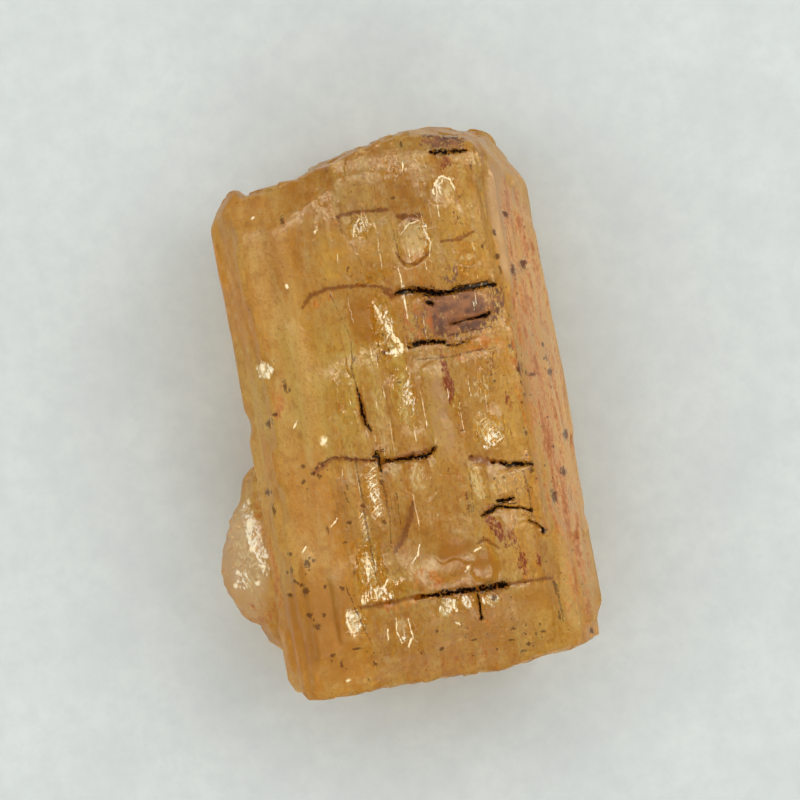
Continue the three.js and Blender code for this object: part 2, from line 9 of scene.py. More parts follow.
import bpy
import numpy as np
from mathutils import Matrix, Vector


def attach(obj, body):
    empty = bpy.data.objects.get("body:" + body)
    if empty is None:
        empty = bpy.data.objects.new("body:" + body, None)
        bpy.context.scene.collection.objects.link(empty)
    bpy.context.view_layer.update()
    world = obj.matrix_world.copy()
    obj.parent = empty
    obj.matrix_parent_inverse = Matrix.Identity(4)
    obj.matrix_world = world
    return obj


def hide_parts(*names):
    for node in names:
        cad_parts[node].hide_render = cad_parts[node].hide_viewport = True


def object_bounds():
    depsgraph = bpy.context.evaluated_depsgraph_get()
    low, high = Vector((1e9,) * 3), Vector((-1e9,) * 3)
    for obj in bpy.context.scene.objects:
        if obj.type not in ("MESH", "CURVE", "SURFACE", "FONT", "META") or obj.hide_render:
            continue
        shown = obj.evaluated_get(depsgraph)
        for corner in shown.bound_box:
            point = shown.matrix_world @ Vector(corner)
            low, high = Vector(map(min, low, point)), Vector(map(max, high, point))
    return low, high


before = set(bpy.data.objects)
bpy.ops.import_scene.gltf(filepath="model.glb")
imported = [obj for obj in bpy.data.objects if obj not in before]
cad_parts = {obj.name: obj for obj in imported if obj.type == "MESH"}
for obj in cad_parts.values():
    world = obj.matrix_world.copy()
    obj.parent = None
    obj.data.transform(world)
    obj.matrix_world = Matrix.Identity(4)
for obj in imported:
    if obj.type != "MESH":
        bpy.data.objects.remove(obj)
CAD_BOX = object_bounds()

MM = 0.001
AXIS_SHIFT = np.array([0.942, -0.05, 0.0])  # from the crystal's axes to the frame, in mm
THICKNESS = 9.8  # from the floor to the highest rib
SECTION_Z = THICKNESS / 2  # height of the prism's own axis
SECTION_RADIUS = 5.6  # mean radius of the prism, which turns angles round it into lengths
RIDGE_LEFT = -3.2  # u of the upper face's left long edge

VOXEL = 0.077  # mm, mesh size that the fine relief is made on
MOST_TRIANGLES = 196000
THINNING_LEVELS = 4  # steps from the kept upper faces to the freely thinned sides
THINNING_FORCE = 0.0001  # how much dearer thinning gets from step to step towards the kept faces
CRACK_DEPTH = 0.28  # mm
CHIPS = 900  # small shell-shaped chips all over the surface
CHIP_RIPPLE = 0.2  # height of a chip's ripples, as a share of its depth
CHIP_RIPPLE_SPACING = 0.22  # as a share of the chip's size
GRAIN_HEIGHT = 0.02  # mm, of the finest grain
LOOSE_SPECKS = 300  # tiny dark dots with no cluster
SPECKS_PER_AREA = 13  # in a cluster of strength 1, for each unit of half-width times half-length
# The loose striae are painted highlights along the crystal's striae.
LOOSE_STRIAE = 36  # hair-thin pale lines along the crystal
FAR = 9.0  # stands for out of reach in the fields that hold distances
SHARP_ANGLE = 32  # degrees; shading breaks at edges that fold more than this
SOFTENING = 20  # rounds of smoothing that take the sharpness off the solid's steps
LEVELLING = 64  # more rounds for the heights of the upper face, so that its ledges slope gently

# Lines on the upper face are lists of (u, v, half-width) in mm. Cracks that hold black oxide:
BLACK_CRACKS = [
    [(0.45, 4.6, 0.05), (0.6, 4.63, 0.1), (1.1, 4.64, 0.12), (1.5, 4.55, 0.1), (1.8, 4.45, 0.14),
     (2.05, 4.35, 0.1), (2.5, 4.33, 0.06), (3.0, 4.36, 0.1), (3.6, 4.35, 0.09), (4.15, 4.36, 0.11),
     (4.42, 4.25, 0.05)],
    [(0.6, 2.47, 0.07), (1.0, 2.52, 0.09), (1.5, 2.5, 0.07), (2.05, 2.38, 0.06)],
    [(2.1, 2.25, 0.04), (2.5, 2.2, 0.035), (2.95, 2.27, 0.03)],
    [(2.2, 3.0, 0.02), (2.9, 3.08, 0.03), (3.55, 3.12, 0.03), (3.75, 3.14, 0.09), (3.97, 3.2, 0.05)],
    [(1.6, 4.06, 0.07), (1.8, 3.98, 0.09)],
    [(2.75, 9.92, 0.03), (3.0, 9.85, 0.08), (3.4, 9.8, 0.09), (4.2, 9.7, 0.04)],
    [(-1.13, -1.86, 0.07), (-0.6, -1.9, 0.06), (0.0, -1.9, 0.08), (0.5, -1.95, 0.09),
     (0.75, -1.85, 0.05), (0.95, -1.65, 0.04)],
    [(-1.55, -1.6, 0.04), (-1.38, -1.5, 0.1), (-1.33, -1.75, 0.05), (-1.33, -2.2, 0.04)],
    [(3.1, -2.63, 0.07), (3.15, -2.64, 0.05)],
    [(3.4, -2.7, 0.05), (3.7, -2.85, 0.1), (4.1, -2.88, 0.08), (4.62, -2.98, 0.06)],
    [(3.0, -4.2, 0.04), (3.3, -4.2, 0.08), (3.63, -4.18, 0.06)],
    [(2.3, -4.66, 0.04), (2.6, -4.55, 0.09), (2.95, -4.42, 0.07), (3.2, -4.45, 0.05),
     (3.9, -4.62, 0.03), (4.27, -4.78, 0.04)],
    [(-0.63, -7.4, 0.04), (-0.2, -7.42, 0.07), (0.3, -7.44, 0.1), (1.0, -7.45, 0.09),
     (1.6, -7.5, 0.1), (2.2, -7.48, 0.12), (2.62, -7.5, 0.13), (2.78, -7.6, 0.07)],
    [(1.58, -7.6, 0.03), (1.6, -8.1, 0.04), (1.57, -8.55, 0.03), (1.57, -8.7, 0.08)],
    [(-1.72, 1.15, 0.02), (-1.64, 0.5, 0.05), (-1.66, 0.1, 0.08), (-1.6, -0.25, 0.06),
     (-1.45, -0.57, 0.03)],
    [(4.1, -5.15, 0.05), (4.3, -5.3, 0.03), (4.55, -5.55, 0.03), (4.62, -5.7, 0.09)],
]

# Fine dark seams, broken into dots.
FINE_SEAMS = [
    [(-4.0, -1.9, 0.03), (-3.75, -1.55, 0.04), (-3.2, -1.35, 0.03), (-2.3, -1.55, 0.035),
     (-1.45, -1.75, 0.03)],
    [(-1.33, -2.2, 0.035), (-1.35, -3.0, 0.04), (-1.33, -4.2, 0.03), (-1.45, -5.1, 0.02)],
    [(-2.27, -1.6, 0.03), (-2.25, -3.0, 0.03), (-2.3, -4.0, 0.04), (-2.27, -5.1, 0.03),
     (-2.25, -6.3, 0.02)],
    [(0.8, 1.86, 0.02), (2.1, 1.78, 0.03), (3.0, 1.84, 0.035), (3.95, 1.8, 0.03)],
    [(2.2, 2.62, 0.02), (3.9, 2.66, 0.025)],
    [(-1.3, 8.15, 0.03), (-1.25, 7.4, 0.035)],
    [(0.8, 7.1, 0.02), (0.85, 6.0, 0.03)],
    [(-1.55, 2.4, 0.04), (-1.8, 2.1, 0.03), (-1.72, 1.2, 0.03)],
    [(4.2, -3.2, 0.03), (4.3, -4.0, 0.03), (4.25, -5.0, 0.03)],
    [(1.85, -3.6, 0.03), (1.8, -4.5, 0.02)],
    [(4.7, -7.9, 0.03), (4.75, -9.3, 0.03)],
    [(-3.5, -6.5, 0.02), (-3.3, -7.4, 0.03), (-2.9, -8.9, 0.02)],
    [(-2.9, -2.8, 0.03), (-2.85, -3.2, 0.03)],
    [(-0.9, -3.2, 0.02), (-0.95, -4.4, 0.02)],
    [(2.1, -2.9, 0.02), (2.0, -4.4, 0.025)],
    [(-2.1, 5.0, 0.02), (-1.6, 3.2, 0.015), (-1.7, 2.4, 0.02)],
]

# Dark specks: (u, v, half-width, half-length) in mm.
DARK_SPECKS = [
    (1.69, 10.4, 0.06, 0.13), (-0.45, 9.12, 0.05, 0.06), (-0.57, 8.88, 0.05, 0.05),
    (1.0, 8.36, 0.1, 0.08), (-3.5, 8.2, 0.08, 0.2), (0.09, 6.32, 0.05, 0.06),
    (-2.24, 5.66, 0.06, 0.06), (4.19, 5.85, 0.05, 0.15), (4.27, 9.08, 0.05, 0.14),
    (2.44, 9.33, 0.05, 0.05), (-0.42, 5.44, 0.06, 0.04), (-0.35, 3.1, 0.07, 0.07),
    (-0.42, 2.39, 0.1, 0.06), (-0.2, 2.45, 0.05, 0.08), (0.0, 1.13, 0.1, 0.05),
    (-4.51, 1.77, 0.08, 0.24), (-4.35, 1.55, 0.05, 0.1), (-5.37, 0.38, 0.14, 0.17),
    (-5.1, 0.72, 0.12, 0.08), (-4.34, -1.5, 0.09, 0.09), (-3.62, -1.56, 0.09, 0.1),
    (-4.0, -1.84, 0.11, 0.07), (-3.8, -2.0, 0.09, 0.08), (-4.44, -2.1, 0.1, 0.08),
    (-5.9, -2.28, 0.1, 0.14), (-2.76, -2.59, 0.05, 0.16), (-1.38, -2.69, 0.11, 0.12),
    (-1.56, -4.2, 0.1, 0.08), (-2.24, -3.49, 0.06, 0.1), (-2.27, -2.46, 0.05, 0.08),
    (-2.93, -4.0, 0.09, 0.08), (-2.3, -4.4, 0.05, 0.06), (-2.24, -5.07, 0.07, 0.06),
    (-3.84, -4.14, 0.05, 0.2), (-3.24, -4.79, 0.12, 0.05), (-4.88, -5.32, 0.14, 0.16),
    (-4.57, -5.27, 0.1, 0.08), (-4.75, -5.1, 0.08, 0.06), (-5.52, -5.5, 0.05, 0.14),
    (-5.5, -5.95, 0.1, 0.09), (-5.14, -6.39, 0.13, 0.16), (-5.2, -6.1, 0.1, 0.07),
    (-5.77, -6.44, 0.12, 0.08), (-5.49, -4.84, 0.09, 0.07), (-5.12, -7.36, 0.12, 0.11),
    (-4.58, -7.45, 0.07, 0.07), (-4.9, -7.85, 0.13, 0.14), (-3.67, -6.56, 0.1, 0.09),
    (-4.32, -6.35, 0.05, 0.09), (-5.8, -3.04, 0.06, 0.25), (-0.64, -2.7, 0.04, 0.05),
    (-1.16, -2.3, 0.07, 0.07), (2.1, -1.2, 0.09, 0.04), (1.8, -4.3, 0.06, 0.1),
    (-1.57, -5.37, 0.05, 0.05), (4.56, -1.68, 0.06, 0.16), (3.17, -2.71, 0.08, 0.07),
    (2.28, -2.27, 0.09, 0.05), (4.5, -3.2, 0.1, 0.12), (4.36, -3.88, 0.05, 0.05),
    (3.43, -3.3, 0.06, 0.05), (3.03, -3.27, 0.06, 0.05), (5.23, -4.38, 0.12, 0.28),
    (5.8, -3.5, 0.12, 0.18), (6.16, -2.08, 0.14, 0.2), (4.59, -5.72, 0.13, 0.09),
    (2.2, -7.94, 0.12, 0.14), (2.75, -9.3, 0.1, 0.06), (1.14, -9.44, 0.12, 0.06),
    (-0.2, -9.6, 0.11, 0.09), (-0.25, -8.85, 0.07, 0.1), (3.59, -9.65, 0.07, 0.1),
    (3.93, -9.6, 0.12, 0.05), (2.61, -9.72, 0.12, 0.05), (3.27, -10.0, 0.1, 0.06),
    (3.0, -10.26, 0.12, 0.06), (1.96, -10.0, 0.06, 0.04), (1.03, -10.1, 0.06, 0.05),
    (4.64, -9.1, 0.05, 0.2), (4.66, -8.0, 0.05, 0.35), (5.83, -9.95, 0.12, 0.12),
    (-1.05, -9.6, 0.05, 0.05), (-3.5, -9.0, 0.25, 0.05), (-2.9, -9.7, 0.09, 0.1),
    (-4.5, -9.1, 0.1, 0.1), (-4.2, -9.5, 0.07, 0.15), (5.3, 6.95, 0.09, 0.15),
    (4.71, 6.3, 0.06, 0.15), (5.65, 4.92, 0.14, 0.2), (5.2, 4.7, 0.08, 0.25),
    (4.67, 5.35, 0.12, 0.1), (4.7, 4.84, 0.06, 0.12), (4.75, 0.85, 0.12, 0.2),
    (5.2, 0.53, 0.22, 0.06), (5.95, 0.49, 0.1, 0.14), (5.98, 1.14, 0.1, 0.25),
]

# Painted shade along the ledges' steps.
LEDGE_SHADE_SEAMS = [
    [(-3.3, 4.7, 0.04), (-2.9, 5.1, 0.06), (-2.2, 5.27, 0.05), (-1.0, 5.2, 0.04), (-0.2, 5.0, 0.03),
     (0.3, 4.75, 0.05)],
    [(-1.3, 8.0, 0.05), (-0.4, 8.05, 0.04), (0.7, 7.95, 0.05)],
    [(1.07, 7.6, 0.06), (1.5, 7.45, 0.08), (2.0, 7.5, 0.06)],
    [(0.75, 6.2, 0.03), (0.95, 5.75, 0.04), (1.5, 5.62, 0.04), (2.1, 6.0, 0.03)],
    [(2.2, -2.3, 0.05), (2.7, -2.5, 0.1), (3.45, -2.72, 0.06)],
    [(-3.1, -7.4, 0.04), (-2.2, -7.42, 0.08), (-1.3, -7.38, 0.05), (-0.6, -7.4, 0.06)],
    [(2.8, -7.52, 0.05), (3.7, -7.55, 0.05), (4.6, -7.56, 0.04)],
    [(-0.27, -3.6, 0.04), (-0.5, -4.2, 0.08), (-0.95, -5.0, 0.07), (-1.35, -5.5, 0.04)],
    [(-4.0, -1.88, 0.06), (-3.2, -1.4, 0.06), (-2.3, -1.55, 0.05), (-1.2, -1.85, 0.06),
     (0.9, -1.75, 0.05)],
    [(0.0, 4.75, 0.04), (0.3, 4.5, 0.06), (0.45, 4.6, 0.04)],
    [(2.6, 6.35, 0.03), (3.3, 6.3, 0.04), (3.9, 6.5, 0.03)],
    [(1.9, -5.7, 0.03), (2.3, -5.6, 0.05), (2.7, -6.0, 0.03)],
]

# Painted glints: bright strokes along the flakes' fracture edges.
PAINTED_GLINT_STROKES = [
    [(-2.5, -5.25, 0.03), (-2.48, -5.6, 0.09), (-2.52, -6.0, 0.07), (-2.56, -6.35, 0.04)],
    [(-2.2, -5.65, 0.03), (-2.24, -6.1, 0.05)],
    [(-2.3, -7.05, 0.03), (-2.05, -6.8, 0.06), (-1.85, -6.5, 0.03)],
    [(-3.65, -4.05, 0.03), (-3.4, -3.78, 0.04)],
    [(-4.95, -4.84, 0.03), (-4.82, -4.68, 0.04)],
    [(-4.42, 0.06, 0.03), (-4.3, 0.3, 0.04)],
    [(-2.28, 7.55, 0.03), (-2.16, 7.72, 0.04)],
    [(1.6, 9.4, 0.03), (1.64, 9.66, 0.04)],
    [(0.66, -7.82, 0.03), (0.58, -8.0, 0.04), (0.7, -8.12, 0.04), (0.62, -8.32, 0.03)],
    [(0.53, -8.62, 0.03), (0.68, -8.72, 0.04)],
    [(1.22, -6.74, 0.03), (1.42, -6.56, 0.05)],
    [(1.78, -5.98, 0.03), (2.0, -5.9, 0.04)],
    [(-1.46, -9.25, 0.03), (-1.32, -8.98, 0.04)],
    [(-2.19, -8.85, 0.02), (-2.17, -8.45, 0.025)],
    [(2.78, 8.0, 0.02), (2.62, 8.3, 0.04), (2.72, 8.65, 0.05), (3.02, 8.88, 0.04), (3.34, 8.7, 0.03),
     (3.42, 8.35, 0.02)],
    [(2.9, 8.2, 0.02), (2.85, 8.5, 0.025), (3.05, 8.68, 0.02)],
    [(2.05, 5.85, 0.02), (2.16, 6.4, 0.03), (1.95, 7.05, 0.03)],
    [(1.1, 6.9, 0.02), (1.45, 7.25, 0.03), (1.8, 7.3, 0.02)],
    [(-0.8, 7.15, 0.02), (-0.72, 7.55, 0.03), (-0.45, 7.75, 0.02)],
    [(-3.62, -7.4, 0.03), (-3.7, -7.9, 0.04), (-3.5, -8.5, 0.03)],
    [(-1.78, -8.1, 0.02), (-1.82, -8.6, 0.03), (-1.7, -9.05, 0.02)],
    [(-1.3, -8.2, 0.02), (-1.22, -8.9, 0.02)],
    [(0.75, 5.6, 0.015), (0.76, 4.7, 0.025), (0.74, 3.6, 0.02)],
    [(-0.5, 4.45, 0.04), (-0.36, 3.95, 0.1), (-0.3, 3.6, 0.06)],
    [(-0.12, 3.5, 0.05), (0.05, 3.1, 0.09), (0.1, 2.7, 0.07)],
    [(0.18, 2.9, 0.04), (0.32, 2.5, 0.08), (0.3, 2.3, 0.05)],
    [(0.05, 2.45, 0.05), (0.02, 2.2, 0.07)],
    [(-0.35, -5.35, 0.02), (-0.5, -5.75, 0.03), (-0.75, -6.0, 0.02)],
]

# Painted glints in ladders of short rungs: (u, v) of the first, (u, v) step, count, and the rung's
# reach.
GLINT_LADDERS = [
    ((-1.75, -2.1), (0.005, -0.3), 7, (0.19, 0.13)),
    ((-2.35, -3.75), (0.01, -0.24), 5, (0.13, 0.12)),
    ((-3.4, -7.5), (-0.01, -0.2), 5, (0.16, 0.06)),
    ((-2.95, -7.0), (0.13, 0.03), 6, (0.05, 0.22)),
    ((0.2, 1.0), (0.02, -0.26), 4, (0.08, 0.09)),
    ((-0.15, 3.0), (0.01, 0.3), 4, (0.06, 0.1)),
    ((3.0, -0.9), (0.12, -0.22), 5, (0.12, 0.08)),
]

# Pale spots, partly painted glints: (u, v, half-width, half-length) in mm.
PALE_SPOTS = [
    (-6.89, -3.46, 0.12, 0.16), (-6.98, -3.97, 0.1, 0.14), (-6.94, -4.42, 0.11, 0.12),
    (-6.62, -5.17, 0.09, 0.11), (-7.69, -5.22, 0.1, 0.1), (-7.86, -5.72, 0.09, 0.1),
    (-6.98, -5.8, 0.12, 0.09), (-6.77, -2.54, 0.07, 0.15), (-3.38, -0.66, 0.16, 0.2),
    (-4.61, 8.54, 0.09, 0.06), (-3.73, 5.64, 0.06, 0.1), (-4.06, -10.2, 0.1, 0.07),
    (-5.25, 2.65, 0.12, 0.2), (-5.12, 2.3, 0.1, 0.14),
]


def painted_glints():
    """The painted glints: those listed, the ladders' curved rungs and loose hair-thin striae."""
    random = np.random.default_rng(17)
    strokes = list(PAINTED_GLINT_STROKES)
    for (u, v), (step_u, step_v), count, (reach_u, reach_v) in GLINT_LADDERS:
        for index in range(count):
            middle_u = u + step_u * index + 0.03 * (random.random() - 0.5)
            middle_v = v + step_v * index + 0.05 * (random.random() - 0.5)
            long = 0.7 + 0.6 * random.random()
            start = (middle_u - reach_u * long, middle_v - 1.3 * reach_v * long, 0.01)
            end = (middle_u + reach_u * long, middle_v + 0.6 * reach_v * long, 0.01)
            strokes.append([start, (middle_u, middle_v, 0.018 + 0.016 * random.random()), end])
    for _ in range(LOOSE_STRIAE):
        u, v = -3.0 + 7.2 * random.random(), -3.4 + 12.0 * random.random()
        length = 0.25 + 1.2 * random.random() ** 2
        drift = 0.04 * (random.random() - 0.5)
        strokes.append([(u, v, 0.006), (u + drift, v - length, 0.006 + 0.01 * random.random())])
    return strokes


# ---- Noise ----
# A seed is any whole number, and keeps one pattern apart from the others.


def hash_unit(*numbers, seed=0):
    """Repeatable values from 0 to 1 for whole numbers in arrays of the same shape."""
    mixed = np.full(np.shape(numbers[0]), seed * 374761393 + 668265263, np.uint64)
    for step, number in enumerate(numbers):
        mixed ^= (np.asarray(number).astype(np.int64) + 1000003 * (step + 1)).astype(np.uint64)
        mixed = (mixed * np.uint64(0x9E3779B97F4A7C15)) & np.uint64(0xFFFFFFFFFFFFFFFF)
        mixed ^= mixed >> np.uint64(29)
    return (mixed >> np.uint64(11)).astype(np.float64) / float(1 << 53)


def noise(points, seed=0):
    """Smooth noise from -1 to 1 over an (n, 3) array, with features about 1 unit across."""
    cell = np.floor(points)
    part = points - cell
    fade = part * part * (3 - 2 * part)
    cell = cell.astype(np.int64)
    total = np.zeros(len(points))
    for corner in np.ndindex(2, 2, 2):
        wx, wy, wz = np.where(corner, fade, 1 - fade).T
        total += wx * wy * wz * hash_unit(*(cell + corner).T, seed=seed)
    return 2 * total - 1


def layered(points, octaves, seed=0):
    """Noise summed over octaves, each half as large and half as strong as the one before."""
    total = np.zeros(len(points))
    for octave in range(octaves):
        total += 0.5**octave * noise(points * 2**octave, seed + octave)
    return total


def smooth(value, low, high):
    """0 at low, 1 at high, with a smooth rise between."""
    share = np.clip((value - low) / (high - low), 0, 1)
    return share * share * (3 - 2 * share)


# ---- Crystal mesh ----


def mesh_arrays(mesh):
    """The mesh's points and its normals at them, as two (n, 3) arrays."""
    points = np.empty(len(mesh.vertices) * 3)
    mesh.vertices.foreach_get("co", points)
    normals = np.empty(len(mesh.vertices) * 3)
    mesh.vertices.foreach_get("normal", normals)
    return points.reshape(-1, 3), normals.reshape(-1, 3)


def set_points(mesh, points):
    """Moves the mesh's points to the given places."""
    mesh.vertices.foreach_set("co", points.ravel())
    mesh.update()


def apply_modifier(piece, kind, **settings):
    """Adds a modifier, sets it and applies it."""
    modifier = piece.modifiers.new(kind.lower(), kind)
    for name, value in settings.items():
        setattr(modifier, name, value)
    bpy.context.view_layer.objects.active = piece
    piece.select_set(True)
    bpy.ops.object.modifier_apply(modifier=modifier.name)
    piece.select_set(False)


def relax(points, mesh, rounds, share, axes=(0, 1, 2)):
    """Moves each point towards the middle of its neighbours, by its own share, in many rounds."""
    edges = np.empty(len(mesh.edges) * 2, np.int32)
    mesh.edges.foreach_get("vertices", edges)
    first, second = edges.reshape(-1, 2).T
    both, other = np.concatenate([first, second]), np.concatenate([second, first])
    count = np.bincount(both, minlength=len(points))
    for _ in range(rounds):
        for axis in axes:
            total = np.bincount(both, points[other, axis], len(points))
            points[:, axis] += share * (total / count - points[:, axis])
    return points


def shards(u, v, seed, width, length, level, tilt):
    """A mosaic of flat splinters along v, width by length mm, each at its own level and tilt.

    Levels lie from -level to level mm. Tilt is the most that one rises per mm across v.
    """
    across, along = u / width, v / length
    cell_u, cell_v = np.floor(across), np.floor(along)
    nearest = np.full(len(u), FAR)
    height = np.zeros(len(u))
    for du in (-1, 0, 1):
        for dv in (-1, 0, 1):
            iu, iv = cell_u + du, cell_v + dv
            out_u = across - iu - hash_unit(iu, iv, seed=seed)
            out_v = along - iv - hash_unit(iu, iv, seed=seed + 1)
            far = np.abs(out_u) + 0.8 * np.abs(out_v)
            own_level = level * (hash_unit(iu, iv, seed=seed + 2) - 0.5)
            lean_u = tilt * (hash_unit(iu, iv, seed=seed + 3) - 0.5)
            lean_v = tilt * (hash_unit(iu, iv, seed=seed + 4) - 0.5)
            plane = 2 * own_level + 2 * lean_u * width * out_u + 0.8 * lean_v * length * out_v
            closer = far < nearest
            nearest = np.where(closer, far, nearest)
            height = np.where(closer, plane, height)
    return height


def creased(x, spacing, seed):
    """Straight-sided ridges and furrows across x, each of its own height, from -1 to 1."""
    place = x / spacing
    cell = np.floor(place)
    part = place - cell
    low, high = hash_unit(cell, 0 * cell, seed=seed), hash_unit(cell + 1, 0 * cell, seed=seed)
    return 2 * (low + (high - low) * part) - 1


def dish(points, normals, centre, size, depth, turn):
    """Depth of a shell-shaped chip at each point: deepest near one side, with curved ripples."""
    offset = points - centre
    flat = offset - normals * np.sum(offset * normals, 1)[:, None]
    along = flat[:, 1] * math.cos(turn) + flat[:, 0] * math.sin(turn)
    far = np.linalg.norm(offset, axis=1) / size
    tip = np.clip(0.6 + 0.6 * along / size, 0, 1.2)
    strike = np.linalg.norm(flat - [0, -size, 0], axis=1)
    waves = 1 + CHIP_RIPPLE * np.cos(2 * math.pi * strike / (CHIP_RIPPLE_SPACING * size))
    return depth * np.clip(1 - far**2, 0, None) * tip * waves


def chips(points, normals, allowed, count, seed):
    """Small shell-shaped chips scattered over the surface where they are allowed (0 to 1)."""
    random = np.random.default_rng(seed)
    picked = random.integers(0, len(points), count)
    sizes = 0.12 + 0.6 * random.random(count) ** 3
    depths = sizes * (0.1 + 0.16 * random.random(count))
    turns = random.random(count) * 2 * math.pi
    total = np.zeros(len(points))
    order = np.argsort(points[:, 1])
    along = points[order, 1]
    for index, size, depth, turn in zip(picked, sizes, depths, turns):
        centre = points[index]
        low, high = np.searchsorted(along, [centre[1] - size, centre[1] + size])
        near = order[low:high]
        near = near[np.abs(points[near, 0] - centre[0]) < size]
        near = near[np.abs(points[near, 2] - centre[2]) < size]
        cut = dish(points[near], normals[near], centre, size, depth * allowed[index], turn)
        total[near] = np.maximum(total[near], cut)
    return total


def oval(u, v, pu, pv, half_u, half_v, turn=0):
    """Place inside an oval patch: 0 at its middle and 1 at its rim, and the two coordinates."""
    angle = math.radians(turn)
    across = (u - pu) * math.cos(angle) + (v - pv) * math.sin(angle)
    along = (v - pv) * math.cos(angle) - (u - pu) * math.sin(angle)
    return np.hypot(across / half_u, along / half_v), across, along


# Patches are ovals: (u, v, half-width, half-length, strength), and a turn in degrees if they lean.
# Parts of the upper face that are smooth:
CALM_PATCHES = [
    (1.37, -0.6, 0.55, 2.6, 1.0), (-0.3, -5.0, 1.1, 1.5, 1.0, -25), (1.0, -5.75, 1.1, 0.6, 1.0, 10),
    (2.1, -6.6, 0.8, 0.6, 1.0), (3.0, 0.5, 0.8, 0.9, 0.6), (3.3, -8.3, 1.3, 0.6, 0.8),
    (-1.7, 6.4, 0.9, 1.0, 0.6), (-2.8, 4.0, 1.2, 2.5, 0.5),
]

# Parts of the upper face that are splintered into many small facets:
LIVELY_PATCHES = [
    (-0.2, 3.4, 0.55, 1.6, 1.0), (0.1, 0.6, 0.6, 1.6, 0.9), (-0.3, 5.4, 0.8, 0.35, 0.7),
    (-1.75, -3.0, 0.45, 1.3, 0.7), (-2.4, -6.1, 0.7, 1.3, 1.3), (-1.9, -6.9, 1.1, 0.45, 1.0),
    (-3.4, -7.9, 0.5, 0.8, 0.8), (3.2, -1.4, 0.8, 0.9, 0.8), (2.4, -3.3, 0.4, 0.9, 0.5),
    (3.6, -3.6, 0.8, 0.8, 0.6), (1.0, -8.0, 1.6, 0.45, 1.0), (-0.5, 7.4, 0.6, 0.5, 0.8),
    (1.2, 9.6, 0.7, 0.6, 0.3), (2.0, -0.3, 0.3, 1.0, 0.5), (3.3, 0.7, 0.4, 0.9, 0.5),
    (2.9, 5.0, 0.8, 0.5, 0.6), (-2.2, 1.0, 0.7, 1.6, 0.4),
]

# Flakes split off the upper face: the oval (u, v, half-width, half-length and a turn), depth in mm,
# lean across u and along v (rise per mm), ripple spacing and height in mm, and the ripples' bend.
FLAKES = [
    ((3.0, 8.35, 0.55, 0.62, -15), 0.10, 0.10, 0.05, 0.14, 0.010, 1.6),
    ((1.5, 6.5, 0.72, 0.92), 0.16, -0.05, 0.16, 0.3, 0.008, -1.2),
    ((-0.5, 7.4, 0.45, 0.4, 20), 0.10, 0.15, 0.0, 0.2, 0.012, 0.8),
    ((3.5, 5.4, 0.5, 0.25), 0.05, 0.0, 0.15, 0.3, 0.0, 0.0),
    ((-3.4, -7.9, 0.42, 0.75, 12), 0.12, 0.20, 0.0, 0.2, 0.035, 0.5),
    ((-1.55, -8.5, 0.36, 0.62, -8), 0.10, 0.22, 0.0, 0.3, 0.0, 0.0),
    ((-1.75, -3.0, 0.36, 1.25), 0.08, 0.12, 0.0, 0.26, 0.045, 0.9),
    ((-2.4, -6.1, 0.5, 1.15, 4), 0.10, 0.16, 0.0, 0.3, 0.045, -0.7),
    ((-2.1, -6.9, 0.9, 0.35), 0.08, 0.10, 0.1, 0.2, 0.035, 0.8),
    ((0.4, -4.6, 0.8, 1.2, -30), 0.05, -0.05, 0.0, 0.4, 0.0, 0.5),
    ((1.0, -5.75, 1.1, 0.6, 10), 0.05, 0.03, 0.1, 0.5, 0.0, 0.5),
    ((2.15, -6.6, 0.8, 0.7), 0.12, 0.12, 0.0, 0.25, 0.008, 1.5),
    ((0.3, 0.2, 0.3, 1.3), 0.05, 0.18, 0.0, 0.35, 0.02, 0.5),
    ((-0.3, 3.3, 0.3, 1.4), 0.06, 0.15, 0.0, 0.3, 0.03, 0.4),
    ((2.4, -3.3, 0.4, 0.95), 0.04, 0.12, 0.0, 0.4, 0.01, 0.4),
    ((0.2, -2.9, 0.5, 0.85), 0.05, -0.1, 0.0, 0.4, 0.01, 0.4),
    ((-5.2, 2.5, 0.28, 0.45), 0.05, 0.3, 0.0, 0.3, 0.0, 0.0),
]


def flakes(u, v):
    """How far FLAKES move each point of the upper face, and their ripples.

    The ripples come as a count of waves from the flake's middle and as their height in mm.
    """
    place = np.stack([u, v, 0 * u], 1)
    u = u + 0.16 * layered(place / 0.7, 2, 91)
    v = v + 0.2 * layered(place / 0.9, 2, 93)
    moved = np.zeros(len(u))
    waves = np.zeros(len(u))
    height = np.zeros(len(u))
    for patch, depth, lean_u, lean_v, spacing, ripple, bend in FLAKES:
        far, across, along = oval(u, v, *patch)
        inside = smooth(far, 1.05, 0.85)
        bowl = depth * np.clip(1 - far**2, 0, None)
        moved += inside * (lean_u * across + lean_v * along - bowl)
        waves = np.where(far < 1.5, (along + bend * across**2) / spacing, waves)
        height = np.where(inside > 0, ripple * inside, height)
    return moved, waves, height


def side_relief(points, wander, turn):
    """Striae and long splinters on the prism's sides, and facets on the growth at its left."""
    u, v, z = points.T
    striae = 0.018 * creased(turn + wander, 0.37, 3) + 0.010 * creased(turn + wander, 0.17, 4)
    strength = 0.5 + 0.5 * noise(np.stack([turn / 1.2, v / 4, 0 * v], 1), 6)
    height = striae * strength + 0.5 * shards(turn, v, 31, 0.9, 4.0, 0.05, 0.08)
    growth = smooth(u, -5.9, -6.6) * smooth(np.abs(v + 4.9), 4.0, 3.0)
    return height + growth * shards(v + 0.5 * wander, z, 71, 0.7, 0.9, 0.05, 0.5)


